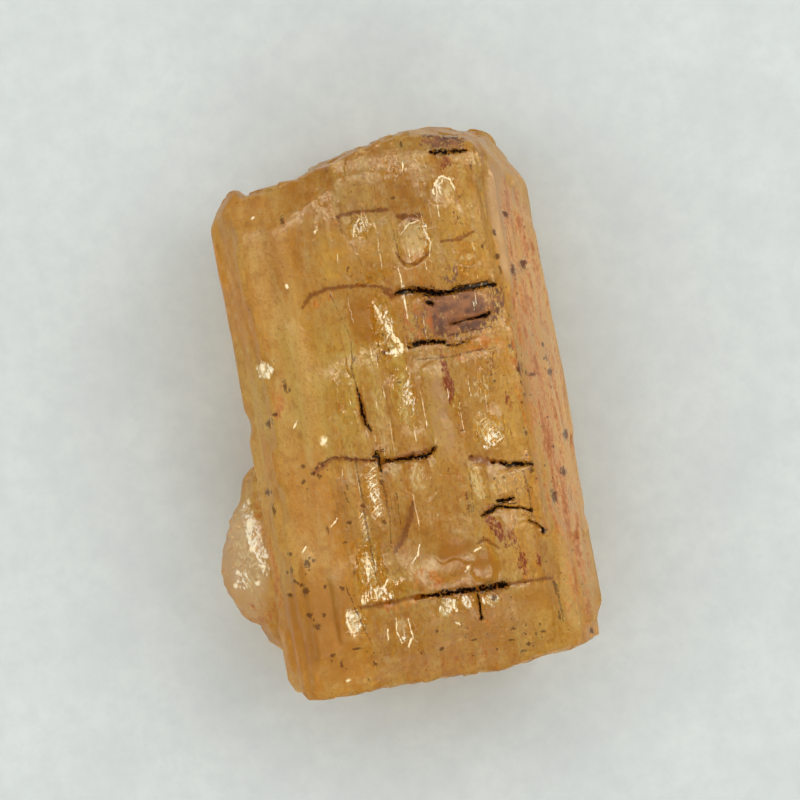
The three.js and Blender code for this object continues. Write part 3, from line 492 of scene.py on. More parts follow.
def top_relief(points, wander, calm, lively):
    """Splinters in three sizes on the upper face, with faint striae between them."""
    u, v, _ = points.T
    bent = u + wander + 0.07 * noise(points / [0.9, 0.9, 9.0], 12)
    height = (0.1 + 0.25 * calm + 0.4 * lively) * shards(bent, v, 41, 0.62, 2.3, 0.014, 0.14)
    height += (0.35 * calm + lively) * shards(bent, v + 7, 47, 0.26, 0.9, 0.010, 0.2)
    height += lively * shards(bent + 0.3 * v, v + 3, 53, 0.17, 0.4, 0.008, 0.35)
    return height + calm * 0.003 * creased(bent, 0.17, 8)


def relief(points, normals):
    """How far each point of the crystal moves out along its normal, in mm."""
    u, v, z = points.T
    # How far each point belongs to the upper face, the broken ends, the sides and the left bevel.
    up = smooth(normals[:, 2], 0.55, 0.85)
    end = smooth(np.abs(normals[:, 1]), 0.5, 0.85)
    side = np.clip(1 - up - end, 0, 1)
    left = smooth(u, RIDGE_LEFT + 0.3, RIDGE_LEFT - 0.6)
    turn = np.arctan2(z - SECTION_Z, u) * SECTION_RADIUS
    wander = 0.05 * noise(np.stack([turn, v / 3, 0 * v], 1), 2)
    calm = 1 - 0.85 * patch_field(u, v, CALM_PATCHES)
    lively = patch_field(u, v, LIVELY_PATCHES)
    sides = side_relief(points, wander, turn)
    top = top_relief(points, wander, calm, lively)
    hackle = 0.06 * layered(points / 1.3, 3, 11) + 0.5 * shards(u, z, 61, 0.8, 0.8, 0.06, 0.3)
    rim, _, _ = line_field(u, v, BLACK_CRACKS)
    groove = CRACK_DEPTH * smooth(rim, 0.03, -0.05)
    faces = (side * sides + up * top) * (1 - 0.7 * left)
    flaked, waves, height = flakes(u, v)
    flaked -= height * np.abs(np.sin(math.pi * (waves + 0.4 * noise(points / 0.3, 95))))
    moved = faces + up * (flaked - groove) + end * hackle
    chipped = (0.35 + lively) * (1 - 0.8 * left)
    return moved - chips(points, normals, chipped * calm, CHIPS, 5)


def thin_out(piece, points, normals):
    """Cuts the mesh to MOST_TRIANGLES. What faces up on the upper half keeps its finest relief."""
    upper = smooth(normals[:, 2], 0.3, 0.4) * smooth(points[:, 2], 4.5, 5.5)
    group = piece.vertex_groups.new(name="thinned")
    for level in range(1, THINNING_LEVELS + 1):
        chosen = np.flatnonzero(np.round((1 - upper) * THINNING_LEVELS) == level)
        group.add(chosen.tolist(), level / THINNING_LEVELS, "REPLACE")
    ratio = MOST_TRIANGLES / (2 * len(piece.data.polygons))
    apply_modifier(
        piece,
        "DECIMATE",
        ratio=min(1, ratio),
        use_collapse_triangulate=True,
        vertex_group=group.name,
        vertex_group_factor=THINNING_FORCE,
    )
    piece.vertex_groups.clear()


def crystal_mesh():
    """The crystal's fine surface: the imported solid, remeshed and given its relief."""
    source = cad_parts["crystal"]
    piece = bpy.data.objects.new("topaz", source.data.copy())
    bpy.context.scene.collection.objects.link(piece)
    mesh = piece.data
    mesh.materials.clear()
    points, _ = mesh_arrays(mesh)
    set_points(mesh, points / MM - AXIS_SHIFT)
    apply_modifier(piece, "REMESH", mode="VOXEL", voxel_size=VOXEL)
    mesh = piece.data
    points, _ = mesh_arrays(mesh)
    # The solid's steps are softened, except at the cracks and where the crystal stands.
    away, _, _ = line_field(points[:, 0], points[:, 1], BLACK_CRACKS)
    share = 0.5 * smooth(away, 0.05, 0.35) * smooth(points[:, 2], 0.1, 1.0)
    set_points(mesh, relax(points, mesh, SOFTENING, share))
    points, normals = mesh_arrays(mesh)
    share = 0.5 * smooth(normals[:, 2], 0.6, 0.9) * smooth(away, 0.1, 0.4)
    share *= smooth(points[:, 2], 7.5, 8.5)
    set_points(mesh, relax(points, mesh, LEVELLING, share, axes=(2,)))
    points, normals = mesh_arrays(mesh)
    foot = smooth(points[:, 2], 0.05, 0.4)  # no relief where the crystal stands
    moved = points + normals * (relief(points, normals) * foot)[:, None]
    low, high = np.array(CAD_BOX) / MM - AXIS_SHIFT
    set_points(mesh, np.clip(moved, low, high))
    thin_out(piece, points, normals)
    mesh = piece.data
    mesh.polygons.foreach_set("use_smooth", np.ones(len(mesh.polygons), bool))
    mesh.set_sharp_from_angle(angle=math.radians(SHARP_ANGLE))
    return piece


# ---- Marks on the surface ----


def line_field(u, v, lines):
    """How far each point is from the nearest line, for lines of (u, v, half-width).

    Gives the distance to the line's rim in mm, the distance from its middle in half-widths with
    a sign for the side, and 1 beside a line or 0 elsewhere.
    """
    rim = np.full(len(u), FAR)
    nearest = np.full(len(u), FAR)
    ratio = np.full(len(u), FAR)
    beside = np.zeros(len(u))
    for line in lines:
        last = len(line) - 2
        for index, ((u0, v0, half0), (u1, v1, half1)) in enumerate(zip(line, line[1:])):
            length = math.hypot(u1 - u0, v1 - v0)
            du, dv = (u1 - u0) / length, (v1 - v0) / length
            along = (u - u0) * du + (v - v0) * dv
            across = (v - v0) * du - (u - u0) * dv
            inside = np.clip(along, 0, length)
            away = np.hypot(along - inside, across)
            half = half0 + (half1 - half0) * inside / length
            before = np.clip(-along, 0, FAR) if index == 0 else 0.0
            beyond = np.clip(along - length, 0, FAR) if index == last else 0.0
            closer = away < nearest
            nearest = np.where(closer, away, nearest)
            rim = np.minimum(rim, away - half)
            signed = np.clip(np.copysign(away, across) / half, -FAR, FAR)
            ratio = np.where(closer, signed, ratio)
            near = smooth(away, 0.45, 0.25) * smooth(before + beyond, 0.1, 0.0)
            beside = np.where(closer, near, beside)
    return rim, ratio, beside


def patch_field(u, v, patches):
    """The strongest of several soft oval patches at each point."""
    strongest = np.zeros(len(u))
    for pu, pv, half_u, half_v, strength, *turn in patches:
        far, _, _ = oval(u, v, pu, pv, half_u, half_v, *turn)
        strongest = np.maximum(strongest, strength * smooth(far, 1.15, 0.45))
    return strongest


# Patches that the crystal's colours follow, as CALM_PATCHES is written.
RED_STREAKS = [
    (1.83, 1.0, 0.2, 1.35, 1.0, 4), (2.75, -5.3, 0.28, 0.85, 1.0, 24), (3.35, -5.7, 0.22, 0.5, 0.8),
    (3.5, -6.8, 0.25, 0.75, 0.7, 4), (4.2, -6.7, 0.15, 0.5, 0.6), (3.2, 9.3, 0.4, 0.35, 0.7, 20),
    (3.3, 6.95, 0.3, 0.3, 0.7), (4.1, -0.3, 0.15, 0.6, 0.7), (3.7, 1.3, 0.3, 0.6, 0.45),
    (2.9, -5.25, 0.12, 0.3, 1.4, 20), (1.8, 0.2, 0.1, 0.5, 1.3, 4), (4.0, -3.9, 0.4, 0.6, 0.3),
]
RUSTY_PATCHES = [
    (5.6, 0.0, 1.2, 12.0, 0.55), (5.4, -6.0, 0.8, 4.0, 0.8), (5.1, 6.5, 0.6, 4.0, 0.3),
    (4.9, 0.0, 0.5, 3.0, 0.6), (1.1, 3.4, 0.7, 1.2, 0.45), (3.0, 2.0, 1.6, 0.4, 0.5),
    (-0.4, -6.8, 0.9, 0.55, 0.55), (1.6, -3.5, 0.5, 1.0, 0.3), (1.9, -8.6, 0.3, 0.6, 0.5),
    (-1.5, -7.5, 1.6, 0.25, 0.7), (-2.5, 4.9, 0.9, 0.25, 0.4, 15), (-1.5, 2.9, 0.4, 0.5, 0.35),
    (-1.6, 0.4, 0.3, 0.9, 0.6), (-4.9, 1.5, 0.5, 1.2, 0.4), (-4.2, -2.8, 0.6, 1.0, 0.2),
    (0.2, 8.0, 1.4, 0.3, 0.5), (-8.0, -4.5, 0.35, 2.6, 0.25), (-7.1, -7.0, 1.3, 0.7, 0.45, 25),
    (-6.35, -4.5, 0.3, 2.8, 0.6, 6), (1.0, -9.9, 4.0, 0.6, 0.25, 4),
]
PURPLE_PATCHES = [
    (1.1, 3.4, 0.9, 1.2, 0.6), (2.2, 3.4, 1.2, 1.2, 1.15), (3.2, 3.4, 1.0, 1.2, 1.2),
    (4.3, 3.5, 0.5, 1.0, 0.7, -20), (4.7, 1.7, 0.3, 0.5, 0.7), (4.75, 0.9, 0.2, 0.4, 0.6),
    (2.75, 5.0, 0.5, 0.4, 0.65), (3.3, 10.15, 1.1, 0.45, 0.95, -8), (2.7, -4.5, 0.6, 0.35, 0.5),
    (-0.5, 2.4, 0.4, 0.25, 0.5), (3.9, -4.6, 0.5, 0.5, 0.3),
]
MILKY_PATCHES = [
    (-0.2, 3.4, 0.42, 1.6, 0.45), (0.1, 0.3, 0.5, 1.5, 0.5), (3.2, -1.4, 0.75, 1.0, 0.6, 20),
    (3.1, 0.4, 0.5, 1.1, 0.45), (2.35, -3.3, 0.35, 0.9, 0.75), (0.1, -2.8, 0.5, 0.8, 0.55),
    (0.35, -8.0, 0.45, 0.4, 0.9), (1.1, -8.0, 0.3, 0.4, 0.9), (2.05, -8.0, 0.4, 0.35, 0.8),
    (-2.5, -6.1, 0.5, 1.1, 0.5), (-3.4, -7.9, 0.4, 0.7, 0.7, 10), (-1.55, -8.5, 0.35, 0.6, 0.5),
    (-1.75, -3.0, 0.35, 1.1, 0.6), (3.0, 8.35, 0.55, 0.6, 0.7), (1.5, 6.5, 0.7, 0.85, 0.85),
    (-0.5, 7.4, 0.45, 0.4, 0.6), (0.75, 4.6, 0.12, 1.2, 0.6), (-7.2, -4.6, 0.8, 2.2, 0.55),
    (-5.2, 2.5, 0.3, 0.5, 0.9), (3.5, 5.4, 0.5, 0.25, 0.5), (0.5, -4.4, 0.4, 0.3, 0.4),
    (3.2, -3.6, 0.6, 0.5, 0.5),
]
# Painted highlights, where fractures inside the crystal mirror the light:
PAINTED_HIGHLIGHT_PATCHES = [
    (-6.75, -4.0, 0.4, 1.7, 0.9, 8), (-7.6, -5.4, 0.35, 0.7, 0.6), (-5.2, 2.5, 0.3, 0.5, 0.8, -15),
    (-2.57, -6.1, 0.16, 0.75, 0.6, 4), (-2.1, -6.9, 0.5, 0.3, 0.6, -30),
    (-1.75, -3.1, 0.25, 1.0, 0.5), (0.35, -7.95, 0.4, 0.35, 0.7), (1.1, -7.95, 0.28, 0.38, 0.75),
    (2.0, -7.95, 0.4, 0.32, 0.65), (0.0, 2.35, 0.4, 0.25, 0.7), (-0.1, 3.6, 0.25, 1.0, 0.5),
    (0.3, 0.6, 0.25, 0.8, 0.5), (3.2, -1.9, 0.6, 0.4, 0.6, 20), (-0.4, 7.5, 0.3, 0.3, 0.5),
    (2.75, 8.5, 0.2, 0.4, 0.5, -20), (2.0, 6.6, 0.12, 0.7, 0.5), (-3.4, -7.9, 0.3, 0.6, 0.5, 12),
    (-1.55, -8.9, 0.25, 0.25, 0.5), (0.75, 4.4, 0.07, 1.1, 0.6, 2),
]
# Deeper amber. The patch at (-4.9, -8.0) makes the lower-left slope darker.
CLEAR_PATCHES = [
    (-1.0, 3.8, 0.7, 1.2, 1.25), (-2.4, 3.6, 0.8, 1.2, 0.4), (1.0, 9.0, 1.4, 0.5, 0.3),
    (-0.7, -6.8, 1.3, 0.5, 0.7), (-1.2, 1.3, 0.3, 1.3, 0.7), (3.5, -8.3, 1.2, 0.8, 0.7),
    (1.1, -5.8, 1.1, 0.7, 1.0, 12), (2.1, -6.7, 0.9, 0.6, 0.8), (-0.9, 1.7, 0.7, 1.0, 0.5),
    (-1.0, -4.6, 0.4, 0.8, 0.7, -30), (2.0, 8.5, 0.8, 0.8, 0.5), (-0.5, -9.8, 5.0, 1.0, 0.3),
    (-4.9, -8.0, 2.2, 3.0, 1.0), (-5.5, -3.5, 1.4, 2.5, 0.4), (-2.5, -8.2, 1.4, 0.8, 0.5),
]
GLOW_PATCHES = [
    (-1.7, 6.4, 1.2, 1.5, 0.6), (0.6, 6.6, 1.8, 1.2, 0.45), (2.9, 7.0, 1.0, 1.2, 0.45),
    (-1.9, -2.4, 0.9, 0.7, 0.3),
]
ROSY_PATCHES = [
    (6.0, 0.0, 1.3, 12.0, 1.0), (3.6, -3.4, 1.0, 1.2, 0.6), (3.4, 0.6, 1.0, 1.4, 0.3),
    (1.5, -9.0, 3.5, 1.4, 0.4, 5), (-7.4, -4.9, 1.2, 2.8, 1.0), (0.0, 8.6, 1.5, 0.6, 0.3),
    (0.0, -10.1, 5.0, 0.8, 0.35), (5.2, 6.5, 0.7, 3.5, 1.2), (1.4, -0.6, 0.5, 2.4, 0.5),
]
SPECK_CLUSTERS = [
    (-4.6, -5.8, 1.3, 1.8, 0.5), (-3.8, -1.9, 0.9, 0.6, 0.6), (1.5, -9.3, 2.6, 0.7, 0.55),
    (3.4, -9.7, 1.0, 0.6, 0.8), (-2.4, -9.8, 1.8, 0.7, 0.5), (2.9, 0.6, 1.4, 1.3, 0.35),
    (4.5, -0.5, 0.7, 2.8, 0.6), (3.2, 7.0, 1.2, 1.0, 0.5), (3.0, 9.2, 0.9, 0.6, 0.5),
    (0.0, 7.4, 1.3, 0.7, 0.5), (-1.6, 5.6, 1.4, 0.6, 0.5), (5.6, 0.0, 1.2, 11.0, 0.6),
    (-1.3, -3.2, 0.3, 1.5, 0.75), (-2.4, -4.6, 0.8, 1.6, 0.5), (3.8, -3.9, 0.9, 1.2, 0.6),
    (2.2, -4.2, 0.8, 0.6, 0.5), (2.0, 2.8, 1.6, 1.2, 0.5), (-0.8, 2.6, 0.7, 0.6, 0.7),
]


def texture(points, stretch, octaves, seed):
    """Layered noise of about 0.5, from 0 to 1; stretch is features per mm on each axis."""
    return np.clip(0.5 + 0.3 * layered(points * stretch, octaves, seed), 0, 1)


def scattered_specks():
    """Small dark specks strewn over SPECK_CLUSTERS, as (u, v, half-width, half-length) in mm."""
    random = np.random.default_rng(23)
    specks = []
    for pu, pv, half_u, half_v, strength in SPECK_CLUSTERS:
        for _ in range(int(SPECKS_PER_AREA * strength * half_u * half_v) + 3):
            u, v = random.normal(pu, half_u / 2), random.normal(pv, half_v / 2)
            half = 0.02 + 0.035 * random.random() ** 2
            specks.append((u, v, half, half * (0.7 + 1.6 * random.random() ** 2)))
    for _ in range(LOOSE_SPECKS):
        u, v = random.uniform(-5.5, 6.0), random.uniform(-10.3, 10.0)
        half = 0.014 + 0.02 * random.random()
        specks.append((u, v, half, half * (0.8 + random.random())))
    return specks


def nearest_spot(u, v, spots):
    """How far each point is from the nearest spot's middle, as a share of the spot's own size."""
    nearest = np.full(len(u), FAR)
    for pu, pv, half_u, half_v in spots:
        nearest = np.minimum(nearest, np.hypot((u - pu) / half_u, (v - pv) / half_v))
    return nearest


def mark_surface(piece):
    """Stores the marks as attributes that the material reads: line distances and soft patches."""
    mesh = piece.data
    points, _ = mesh_arrays(mesh)
    u, v, z = points.T
    upper = smooth(z, 5.0, 6.5)  # 1 on the upper faces, where cracks, seams and specks lie
    above = smooth(z, 2.0, 5.0)  # 1 from the middle of the sides up
    bend_u = u + 0.03 * noise(points * 3.1, 81)
    bend_v = v + 0.04 * noise(points * 3.7, 82)
    u = u + 0.14 * layered(points / 0.7, 2, 83)
    v = v + 0.22 * layered(points / 0.9, 2, 85)
    patches = (
        ("red", RED_STREAKS, smooth(z, 1.0, 6.5)),
        ("rusty", RUSTY_PATCHES, smooth(z, 1.0, 6.0)),
        ("purple", PURPLE_PATCHES, upper),
        ("milky", MILKY_PATCHES, above),
        # Painted highlights where fractures inside mirror the light.
        ("painted_highlight", PAINTED_HIGHLIGHT_PATCHES, above),
        ("clear", CLEAR_PATCHES, above),
        ("glow", GLOW_PATCHES, above),
        ("rosy", ROSY_PATCHES, 1.0),
        ("lively", LIVELY_PATCHES, above),
    )
    fields = {name: patch_field(u, v, table) * height for name, table, height in patches}
    fields["satin"] = np.clip(smooth(u, -2.4, -3.8) + smooth(u, 4.4, 5.2), 0, 1)
    marks = (
        ("crack", BLACK_CRACKS),
        # Painted shade along the ledges' steps.
        ("fine", FINE_SEAMS),
        ("ledge_shade", LEDGE_SHADE_SEAMS),
        # Painted glints: the listed strokes, the ladders' rungs and the loose striae.
        ("light", painted_glints()),
    )
    for name, lines in marks:
        _, ratio, beside = line_field(bend_u, bend_v, lines)
        fields[name] = ratio
        fields[name + "_near"] = beside * upper
    specks = nearest_spot(bend_u, bend_v, DARK_SPECKS + scattered_specks())
    fields["speck"] = specks + FAR * (1 - upper)
    # Pale spots, partly painted glints.
    fields["spot"] = nearest_spot(bend_u, bend_v, PALE_SPOTS) + FAR * (z < 1)
    fields["wander"] = texture(points, [3.5, 3.5, 3.5], 3, 101)
    fields["streak"] = texture(points, [3.4, 0.9, 3.4], 3, 105)
    streaks = texture(points, [2.2, 0.3, 2.2], 3, 102)
    columns = 0.5 + 0.5 * shards(bend_u, bend_v, 103, 0.5, 2.0, 1.0, 0.0)
    broad = texture(points, [0.35, 0.2, 0.35], 2, 104)
    fields["pale"] = smooth(0.4 * streaks + 0.25 * columns + 0.35 * broad, 0.3, 0.7)
    for name, values in fields.items():
        attribute = mesh.attributes.new(name, "FLOAT", "POINT")
        attribute.data.foreach_set("value", values.astype(np.float32))


# ---- Materials ----


class Nodes:
    """Short ways to add and link shader nodes in one material."""

    def __init__(self, material):
        material.use_nodes = True
        self.tree = material.node_tree
        self.tree.nodes.clear()

    def add(self, kind, inputs=None, **settings):
        """A new node with its settings, its inputs linked or set."""
        made = self.tree.nodes.new(kind)
        for name, value in settings.items():
            setattr(made, name, value)
        for name, value in (inputs or {}).items():
            self.feed(made.inputs[name], value)
        return made

    def feed(self, socket, value):
        if isinstance(value, bpy.types.NodeSocket):
            self.tree.links.new(value, socket)
        else:
            socket.default_value = value

    def math(self, operation, first, second=0.0):
        return self.add("ShaderNodeMath", {0: first, 1: second}, operation=operation).outputs[0]

    def times(self, first, second):
        return self.math("MULTIPLY", first, second)

    def strongest(self, first, *others):
        for other in others:
            first = self.math("MAXIMUM", first, other)
        return first

    def field(self, name):
        return self.add("ShaderNodeAttribute", attribute_name=name).outputs["Fac"]

    def vector(self, operation, first, second):
        made = self.add("ShaderNodeVectorMath", {0: first, 1: second}, operation=operation)
        return made.outputs["Vector"]

    def position(self, stretch):
        """The point in the frame, in mm, times a scale for each axis."""
        coordinates = self.add("ShaderNodeTexCoord").outputs["Object"]
        return self.vector("MULTIPLY", coordinates, [scale / MM for scale in stretch])

    def noise(self, stretch, detail, roughness):
        """Noise of about 0.5, from 0 to 1; stretch is features per mm on each axis."""
        inputs = {
            "Vector": self.position(stretch),
            "Scale": 1.0,
            "Detail": detail,
            "Roughness": roughness,
        }
        return self.add("ShaderNodeTexNoise", inputs).outputs["Fac"]

    def beads(self, stretch, bend):
        """Distance from the nearest of many scattered points, at a place that noise bends."""
        place = self.position(stretch)
        wobble = self.add("ShaderNodeTexNoise", {"Vector": place, "Scale": 3.0, "Detail": 2.0})
        shift = self.vector("MULTIPLY", wobble.outputs["Color"], (bend, bend, bend))
        place = self.vector("ADD", place, shift)
        cells = self.add("ShaderNodeTexVoronoi", {"Vector": place, "Scale": 1.0})
        return cells.outputs["Distance"]

    def ramp(self, value, low, high, start=0.0, end=1.0):
        """From start at low to end at high, with a smooth change between."""
        inputs = {"Value": value, "From Min": low, "From Max": high, "To Min": start, "To Max": end}
        made = self.add("ShaderNodeMapRange", inputs, interpolation_type="SMOOTHSTEP")
        return made.outputs["Result"]

    def breakup(self, texture, roughness):
        """What a texture of about 0.5 adds to the rim of a mark."""
        return self.times(self.math("SUBTRACT", texture, 0.5), roughness)

    def patch(self, name, texture, roughness, start=0.3, end=0.6):
        """A stored soft patch with a rim that a texture breaks up: 0 outside and 1 inside."""
        field = self.field(name)
        inside = self.math("ADD", self.times(field, 0.8), self.breakup(texture, roughness))
        return self.times(self.ramp(inside, start, end), self.ramp(field, 0.05, 0.4))

    def line(self, name, texture, roughness, width, softness):
        """Stored lines, 1 inside. Width counts in their half-widths, and a texture breaks rims."""
        away = self.math("ABSOLUTE", self.field(name))
        place = self.math("ADD", away, self.breakup(texture, roughness))
        inside = self.ramp(place, width, width + softness, 1.0, 0.0)
        return self.times(inside, self.ramp(self.field(name + "_near"), 0.3, 0.6))

    def coat(self, under, share, *rgb):
        """The colour under, with an sRGB colour laid over it by a share from 0 to 1."""
        return self.mix(share, under, colour(*rgb))

    def mix(self, share, first, second):
        made = self.add("ShaderNodeMix", data_type="RGBA", blend_type="MIX")
        self.feed(made.inputs["Factor"], share)
        self.feed(made.inputs[6], first)
        self.feed(made.inputs[7], second)
        return made.outputs[2]

    def output(self, shader, volume=None):
        """Links the shader, and what fills the body if anything does, to the output."""
        made = self.add("ShaderNodeOutputMaterial")
        self.feed(made.inputs["Surface"], shader.outputs["BSDF"])
        if volume:
            self.feed(made.inputs["Volume"], volume.outputs["Volume"])


def colour(red, green, blue):
    """A linear colour from its sRGB values, 0 to 255."""

    def linear(value):
        share = value / 255
        return share / 12.92 if share <= 0.04045 else ((share + 0.055) / 1.055) ** 2.4

    return (linear(red), linear(green), linear(blue), 1.0)


def clear_topaz(nodes, grain, fibre, wander):
    """The amber body colour with its streaks and mottles, and how much its glow and milk hide."""
    streaks = nodes.noise((7.0, 0.8, 7.0), 3.0, 0.6)
    facing = nodes.math("SUBTRACT", 1.0, nodes.field("satin"))
    glow = nodes.patch("glow", wander, 0.5, 0.1, 0.9)
    milky = nodes.times(nodes.patch("milky", fibre, 2.2), 0.6)
    coats = (
        (nodes.ramp(streaks, 0.5, 0.8, 0.0, 0.4), (246, 224, 146)),
        (nodes.ramp(streaks, 0.5, 0.25, 0.0, 0.35), (204, 136, 42)),
        (nodes.ramp(grain, 0.5, 0.68, 0.0, 0.5), (186, 120, 44)),
        (nodes.times(nodes.ramp(fibre, 0.53, 0.68, 0.0, 0.6), facing), (172, 106, 38)),
        (nodes.times(nodes.ramp(fibre, 0.45, 0.3, 0.0, 0.6), facing), (250, 230, 160)),
        (nodes.ramp(wander, 0.5, 0.85, 0.0, 0.6), (188, 124, 36)),
        (nodes.ramp(wander, 0.45, 0.15, 0.0, 0.5), (248, 224, 146)),
        (nodes.patch("clear", wander, 0.5, 0.1, 1.0), (206, 142, 26)),
        (glow, (246, 202, 78)),
        (nodes.patch("rosy", wander, 0.5, 0.1, 0.9), (246, 216, 172)),
        (milky, (242, 226, 172)),
    )
    amber = nodes.mix(nodes.field("pale"), colour(226, 166, 50), colour(240, 206, 108))
    for share, rgb in coats:
        amber = nodes.coat(amber, share, *rgb)
    return amber, nodes.strongest(nodes.times(glow, 0.35), nodes.times(milky, 0.6))


def topaz_material():
    """Clear topaz with stains and dark fillings on its surface, and painted glints on its fracture
    edges, painted highlights and painted shade along its ledges.
    """
    material = bpy.data.materials.new("topaz_crystal")
    nodes = Nodes(material)
    grain = nodes.noise((9.0, 7.0, 9.0), 2.0, 0.65)
    fibre = nodes.noise((10.0, 4.2, 10.0), 3.0, 0.7)
    wander = nodes.field("wander")
    stained, hidden = clear_topaz(nodes, grain, fibre, wander)

    purple = nodes.patch("purple", fibre, 2.6, 0.2, 0.7)
    purple_tone = nodes.mix(nodes.ramp(wander, 0.3, 0.7), colour(96, 58, 44), colour(146, 92, 56))
    stained = nodes.mix(purple, stained, purple_tone)
    # Painted highlights where fractures inside the crystal mirror the light.
    painted_highlight = nodes.patch("painted_highlight", fibre, 4.2, 0.4, 0.8)
    stained = nodes.coat(stained, nodes.times(painted_highlight, 0.9), 246, 236, 210)
    # Painted shade along the ledges' steps.
    ledge_shade = nodes.times(nodes.line("ledge_shade", grain, 6.0, 0.6, 2.0), 0.85)
    stained = nodes.coat(stained, ledge_shade, 142, 76, 24)
    streak = nodes.times(nodes.math("ADD", nodes.field("streak"), fibre), 0.5)
    rusty = nodes.times(nodes.patch("rusty", streak, 5.0, 0.3, 0.75), 0.65)
    stained = nodes.coat(stained, rusty, 206, 116, 34)
    rust_cores = nodes.times(nodes.patch("rusty", streak, 6.0, 0.6, 1.4), 0.7)
    stained = nodes.coat(stained, rust_cores, 150, 60, 6)
    blush = nodes.times(nodes.patch("red", wander, 1.6), 0.5)
    stained = nodes.coat(stained, blush, 184, 100, 40)
    red = nodes.times(nodes.patch("red", fibre, 5.5, 0.38, 0.75), 0.92)
    stained = nodes.coat(stained, red, 112, 28, 4)

    broken = nodes.breakup(grain, 2.0)
    # Painted glints: pale strokes, and pale spots that are partly glints, laid on in cream.
    spot = nodes.ramp(nodes.math("ADD", nodes.field("spot"), broken), 0.5, 1.5, 0.85, 0.0)
    strokes = nodes.times(nodes.line("light", grain, 5.0, 0.4, 1.0), 0.85)
    light = nodes.strongest(strokes, spot)
    stained = nodes.coat(stained, light, 250, 232, 192)

    specks = nodes.math("ADD", nodes.field("speck"), nodes.times(broken, 1.5))
    specks = nodes.ramp(specks, 0.65, 1.45, 0.9, 0.0)
    seams = nodes.times(nodes.line("fine", grain, 8.0, 0.8, 0.6), 0.8)
    crack = nodes.line("crack", nodes.beads((8.0, 8.0, 8.0), 0.3), 2.6, 0.8, 0.25)
    halo = nodes.times(nodes.line("crack", wander, 4.0, 1.0, 3.0), 0.5)
    stained = nodes.coat(stained, halo, 150, 92, 40)
    stained = nodes.coat(stained, nodes.strongest(specks, seams), 78, 26, 4)
    base = nodes.coat(stained, crack, 32, 16, 12)

    # Splintered places are glossier, and stains and the streaked side faces are duller.
    polish = nodes.ramp(nodes.field("lively"), 0.0, 0.8, 0.31, 0.14)
    coated = nodes.times(nodes.strongest(purple, red), 0.55)
    roughness = nodes.strongest(coated, polish, nodes.times(nodes.field("satin"), 0.42))
    height = nodes.times(grain, GRAIN_HEIGHT)
    bump = nodes.add("ShaderNodeBump", {"Height": height, "Strength": 1.0, "Distance": MM})

    covers = ((purple, 0.75), (red, 0.9), (rusty, 0.7), (painted_highlight, 0.75), (light, 0.95))
    covers = [nodes.times(share, strength) for share, strength in covers]
    hidden = nodes.strongest(hidden, *covers, specks, seams, crack)
    see_through = nodes.ramp(hidden, 0.0, 1.0, 0.78, 0.0)
    shader = nodes.add(
        "ShaderNodeBsdfPrincipled",
        {
            "Base Color": base,
            "Roughness": roughness,
            "IOR": 1.62,
            "Specular IOR Level": 0.25,
            "Specular Tint": (1.0, 0.88, 0.66, 1.0),
            "Transmission Weight": see_through,
            "Normal": bump.outputs["Normal"],
        },
    )
    absorption = nodes.add(
        "ShaderNodeVolumeAbsorption", {"Color": (0.94, 0.82, 0.06, 1.0), "Density": 110.0}
    )
    nodes.output(shader, absorption)
    return material


def floor_material():
    """Plain pale card with a faint mottle."""
    material = bpy.data.materials.new("pale_floor")
    nodes = Nodes(material)
    mottle = nodes.noise((0.25, 0.25, 0.25), 4.0, 0.6)
    fibres = nodes.noise((1.3, 1.3, 1.3), 5.0, 0.7)
    tone = nodes.mix(nodes.ramp(mottle, 0.3, 0.7), colour(191, 196, 194), colour(198, 203, 200))
    tone = nodes.coat(tone, nodes.ramp(fibres, 0.35, 0.7, 0.0, 0.5), 184, 189, 188)
    nodes.output(nodes.add("ShaderNodeBsdfPrincipled", {"Base Color": tone, "Roughness": 0.9}))
    return material


# ---- Stage ----

CAMERA_DISTANCE = 0.5  # metres, from the camera to the crystal's middle height
FRAME_WIDTH = 0.032  # metres of the scene across the picture at that height
SENSOR = 36.0  # mm
CAMERA_ROLL = -10.0  # degrees: the c axis leans to the left in the picture
CAMERA_CENTRE = np.array([-0.112, 0.426, SECTION_Z])  # what the camera looks at, crystal axes
FLOOR_SIZE = 3.0  # metres

WORLD_COLOUR = (0.99, 1.0, 0.985, 1.0)
WORLD_GLOW = 0.73

LIGHT_DISTANCE = 0.6  # metres from the crystal
BOX_SIZE = 0.35  # metres

# Soft boxes light the crystal and the floor but don't mirror in them: direction and watts.
SOFT_BOXES = [
    ("left_box", (-1.0, 0.2, 1.3), 0.65),
    ("right_box", (1.0, 0.3, 1.3), 1.15),
    ("front_box", (0.0, -1.0, 1.3), 0.55),
    ("rear_box", (0.0, 1.0, 1.3), 0.55),
]

# Small lights that do nothing but mirror, which makes the glints: direction, metres and watts.
GLINT_LIGHTS = [
    ("left_glint", (-0.75, 0.75, 1.3), 0.12, 1.3),
    ("right_glint", (0.7, 0.75, 1.3), 0.12, 1.3),
    ("rear_glint", (0.1, 1.0, 1.5), 0.10, 0.5),
    ("front_glint", (-0.5, -0.9, 1.3), 0.10, 0.45),
]


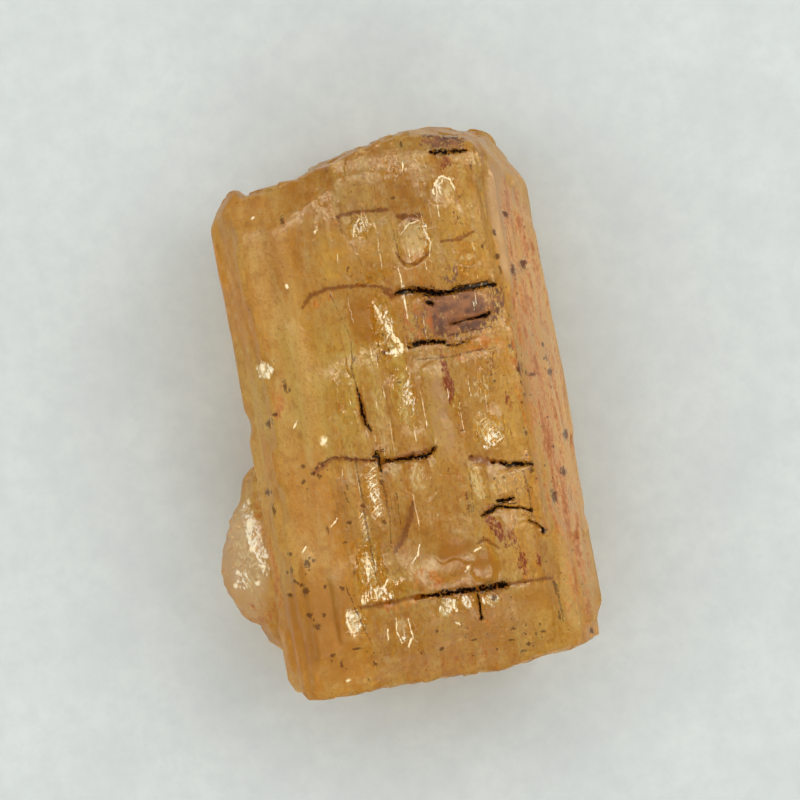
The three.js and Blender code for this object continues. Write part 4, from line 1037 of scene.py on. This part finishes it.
def add_camera():
    """Looks straight down from far off, so that the picture has little perspective."""
    data = bpy.data.cameras.new("camera")
    data.sensor_width = SENSOR
    data.lens = SENSOR * CAMERA_DISTANCE / FRAME_WIDTH
    data.clip_start = 0.01
    data.clip_end = 10
    camera = bpy.data.objects.new("camera", data)
    place = (CAMERA_CENTRE + AXIS_SHIFT) * MM
    camera.location = (place[0], place[1], place[2] + CAMERA_DISTANCE)
    camera.rotation_euler = (0, 0, math.radians(CAMERA_ROLL))
    bpy.context.scene.collection.objects.link(camera)
    bpy.context.scene.camera = camera


def add_light(name, direction, size, power, glints):
    """A square light from a direction (x, y, z), either for glints alone or for all but them."""
    data = bpy.data.lights.new(name, "AREA")
    data.shape = "SQUARE"
    data.size = size
    data.energy = power
    light = bpy.data.objects.new(name, data)
    light.visible_glossy = glints
    light.visible_diffuse = not glints
    light.visible_transmission = not glints
    aim = np.array(direction, float)
    aim /= np.linalg.norm(aim)
    light.location = aim * LIGHT_DISTANCE
    light.rotation_euler = Vector(aim).to_track_quat("Z", "Y").to_euler()
    bpy.context.scene.collection.objects.link(light)


def add_floor():
    bpy.ops.mesh.primitive_grid_add(x_subdivisions=4, y_subdivisions=4, size=FLOOR_SIZE)
    floor = bpy.context.active_object
    floor.name = "floor"
    floor.data.materials.append(floor_material())


def add_world():
    """An even glow all round that mirrors in nothing, so that the crystal's colour stays deep."""
    world = bpy.data.worlds.new("studio")
    world.use_nodes = True
    background = world.node_tree.nodes["Background"]
    background.inputs["Color"].default_value = WORLD_COLOUR
    background.inputs["Strength"].default_value = WORLD_GLOW
    world.cycles_visibility.glossy = False
    bpy.context.scene.world = world


add_camera()
add_floor()
add_world()
for name, direction, power in SOFT_BOXES:
    add_light(name, direction, BOX_SIZE, power, glints=False)
for name, direction, size, power in GLINT_LIGHTS:
    add_light(name, direction, size, power, glints=True)

crystal = crystal_mesh()
mark_surface(crystal)
points, _ = mesh_arrays(crystal.data)
set_points(crystal.data, (points + AXIS_SHIFT) * MM)
crystal.data.materials.append(topaz_material())
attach(crystal, "root")
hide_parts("crystal")

scene = bpy.context.scene
scene.view_settings.view_transform = "Standard"
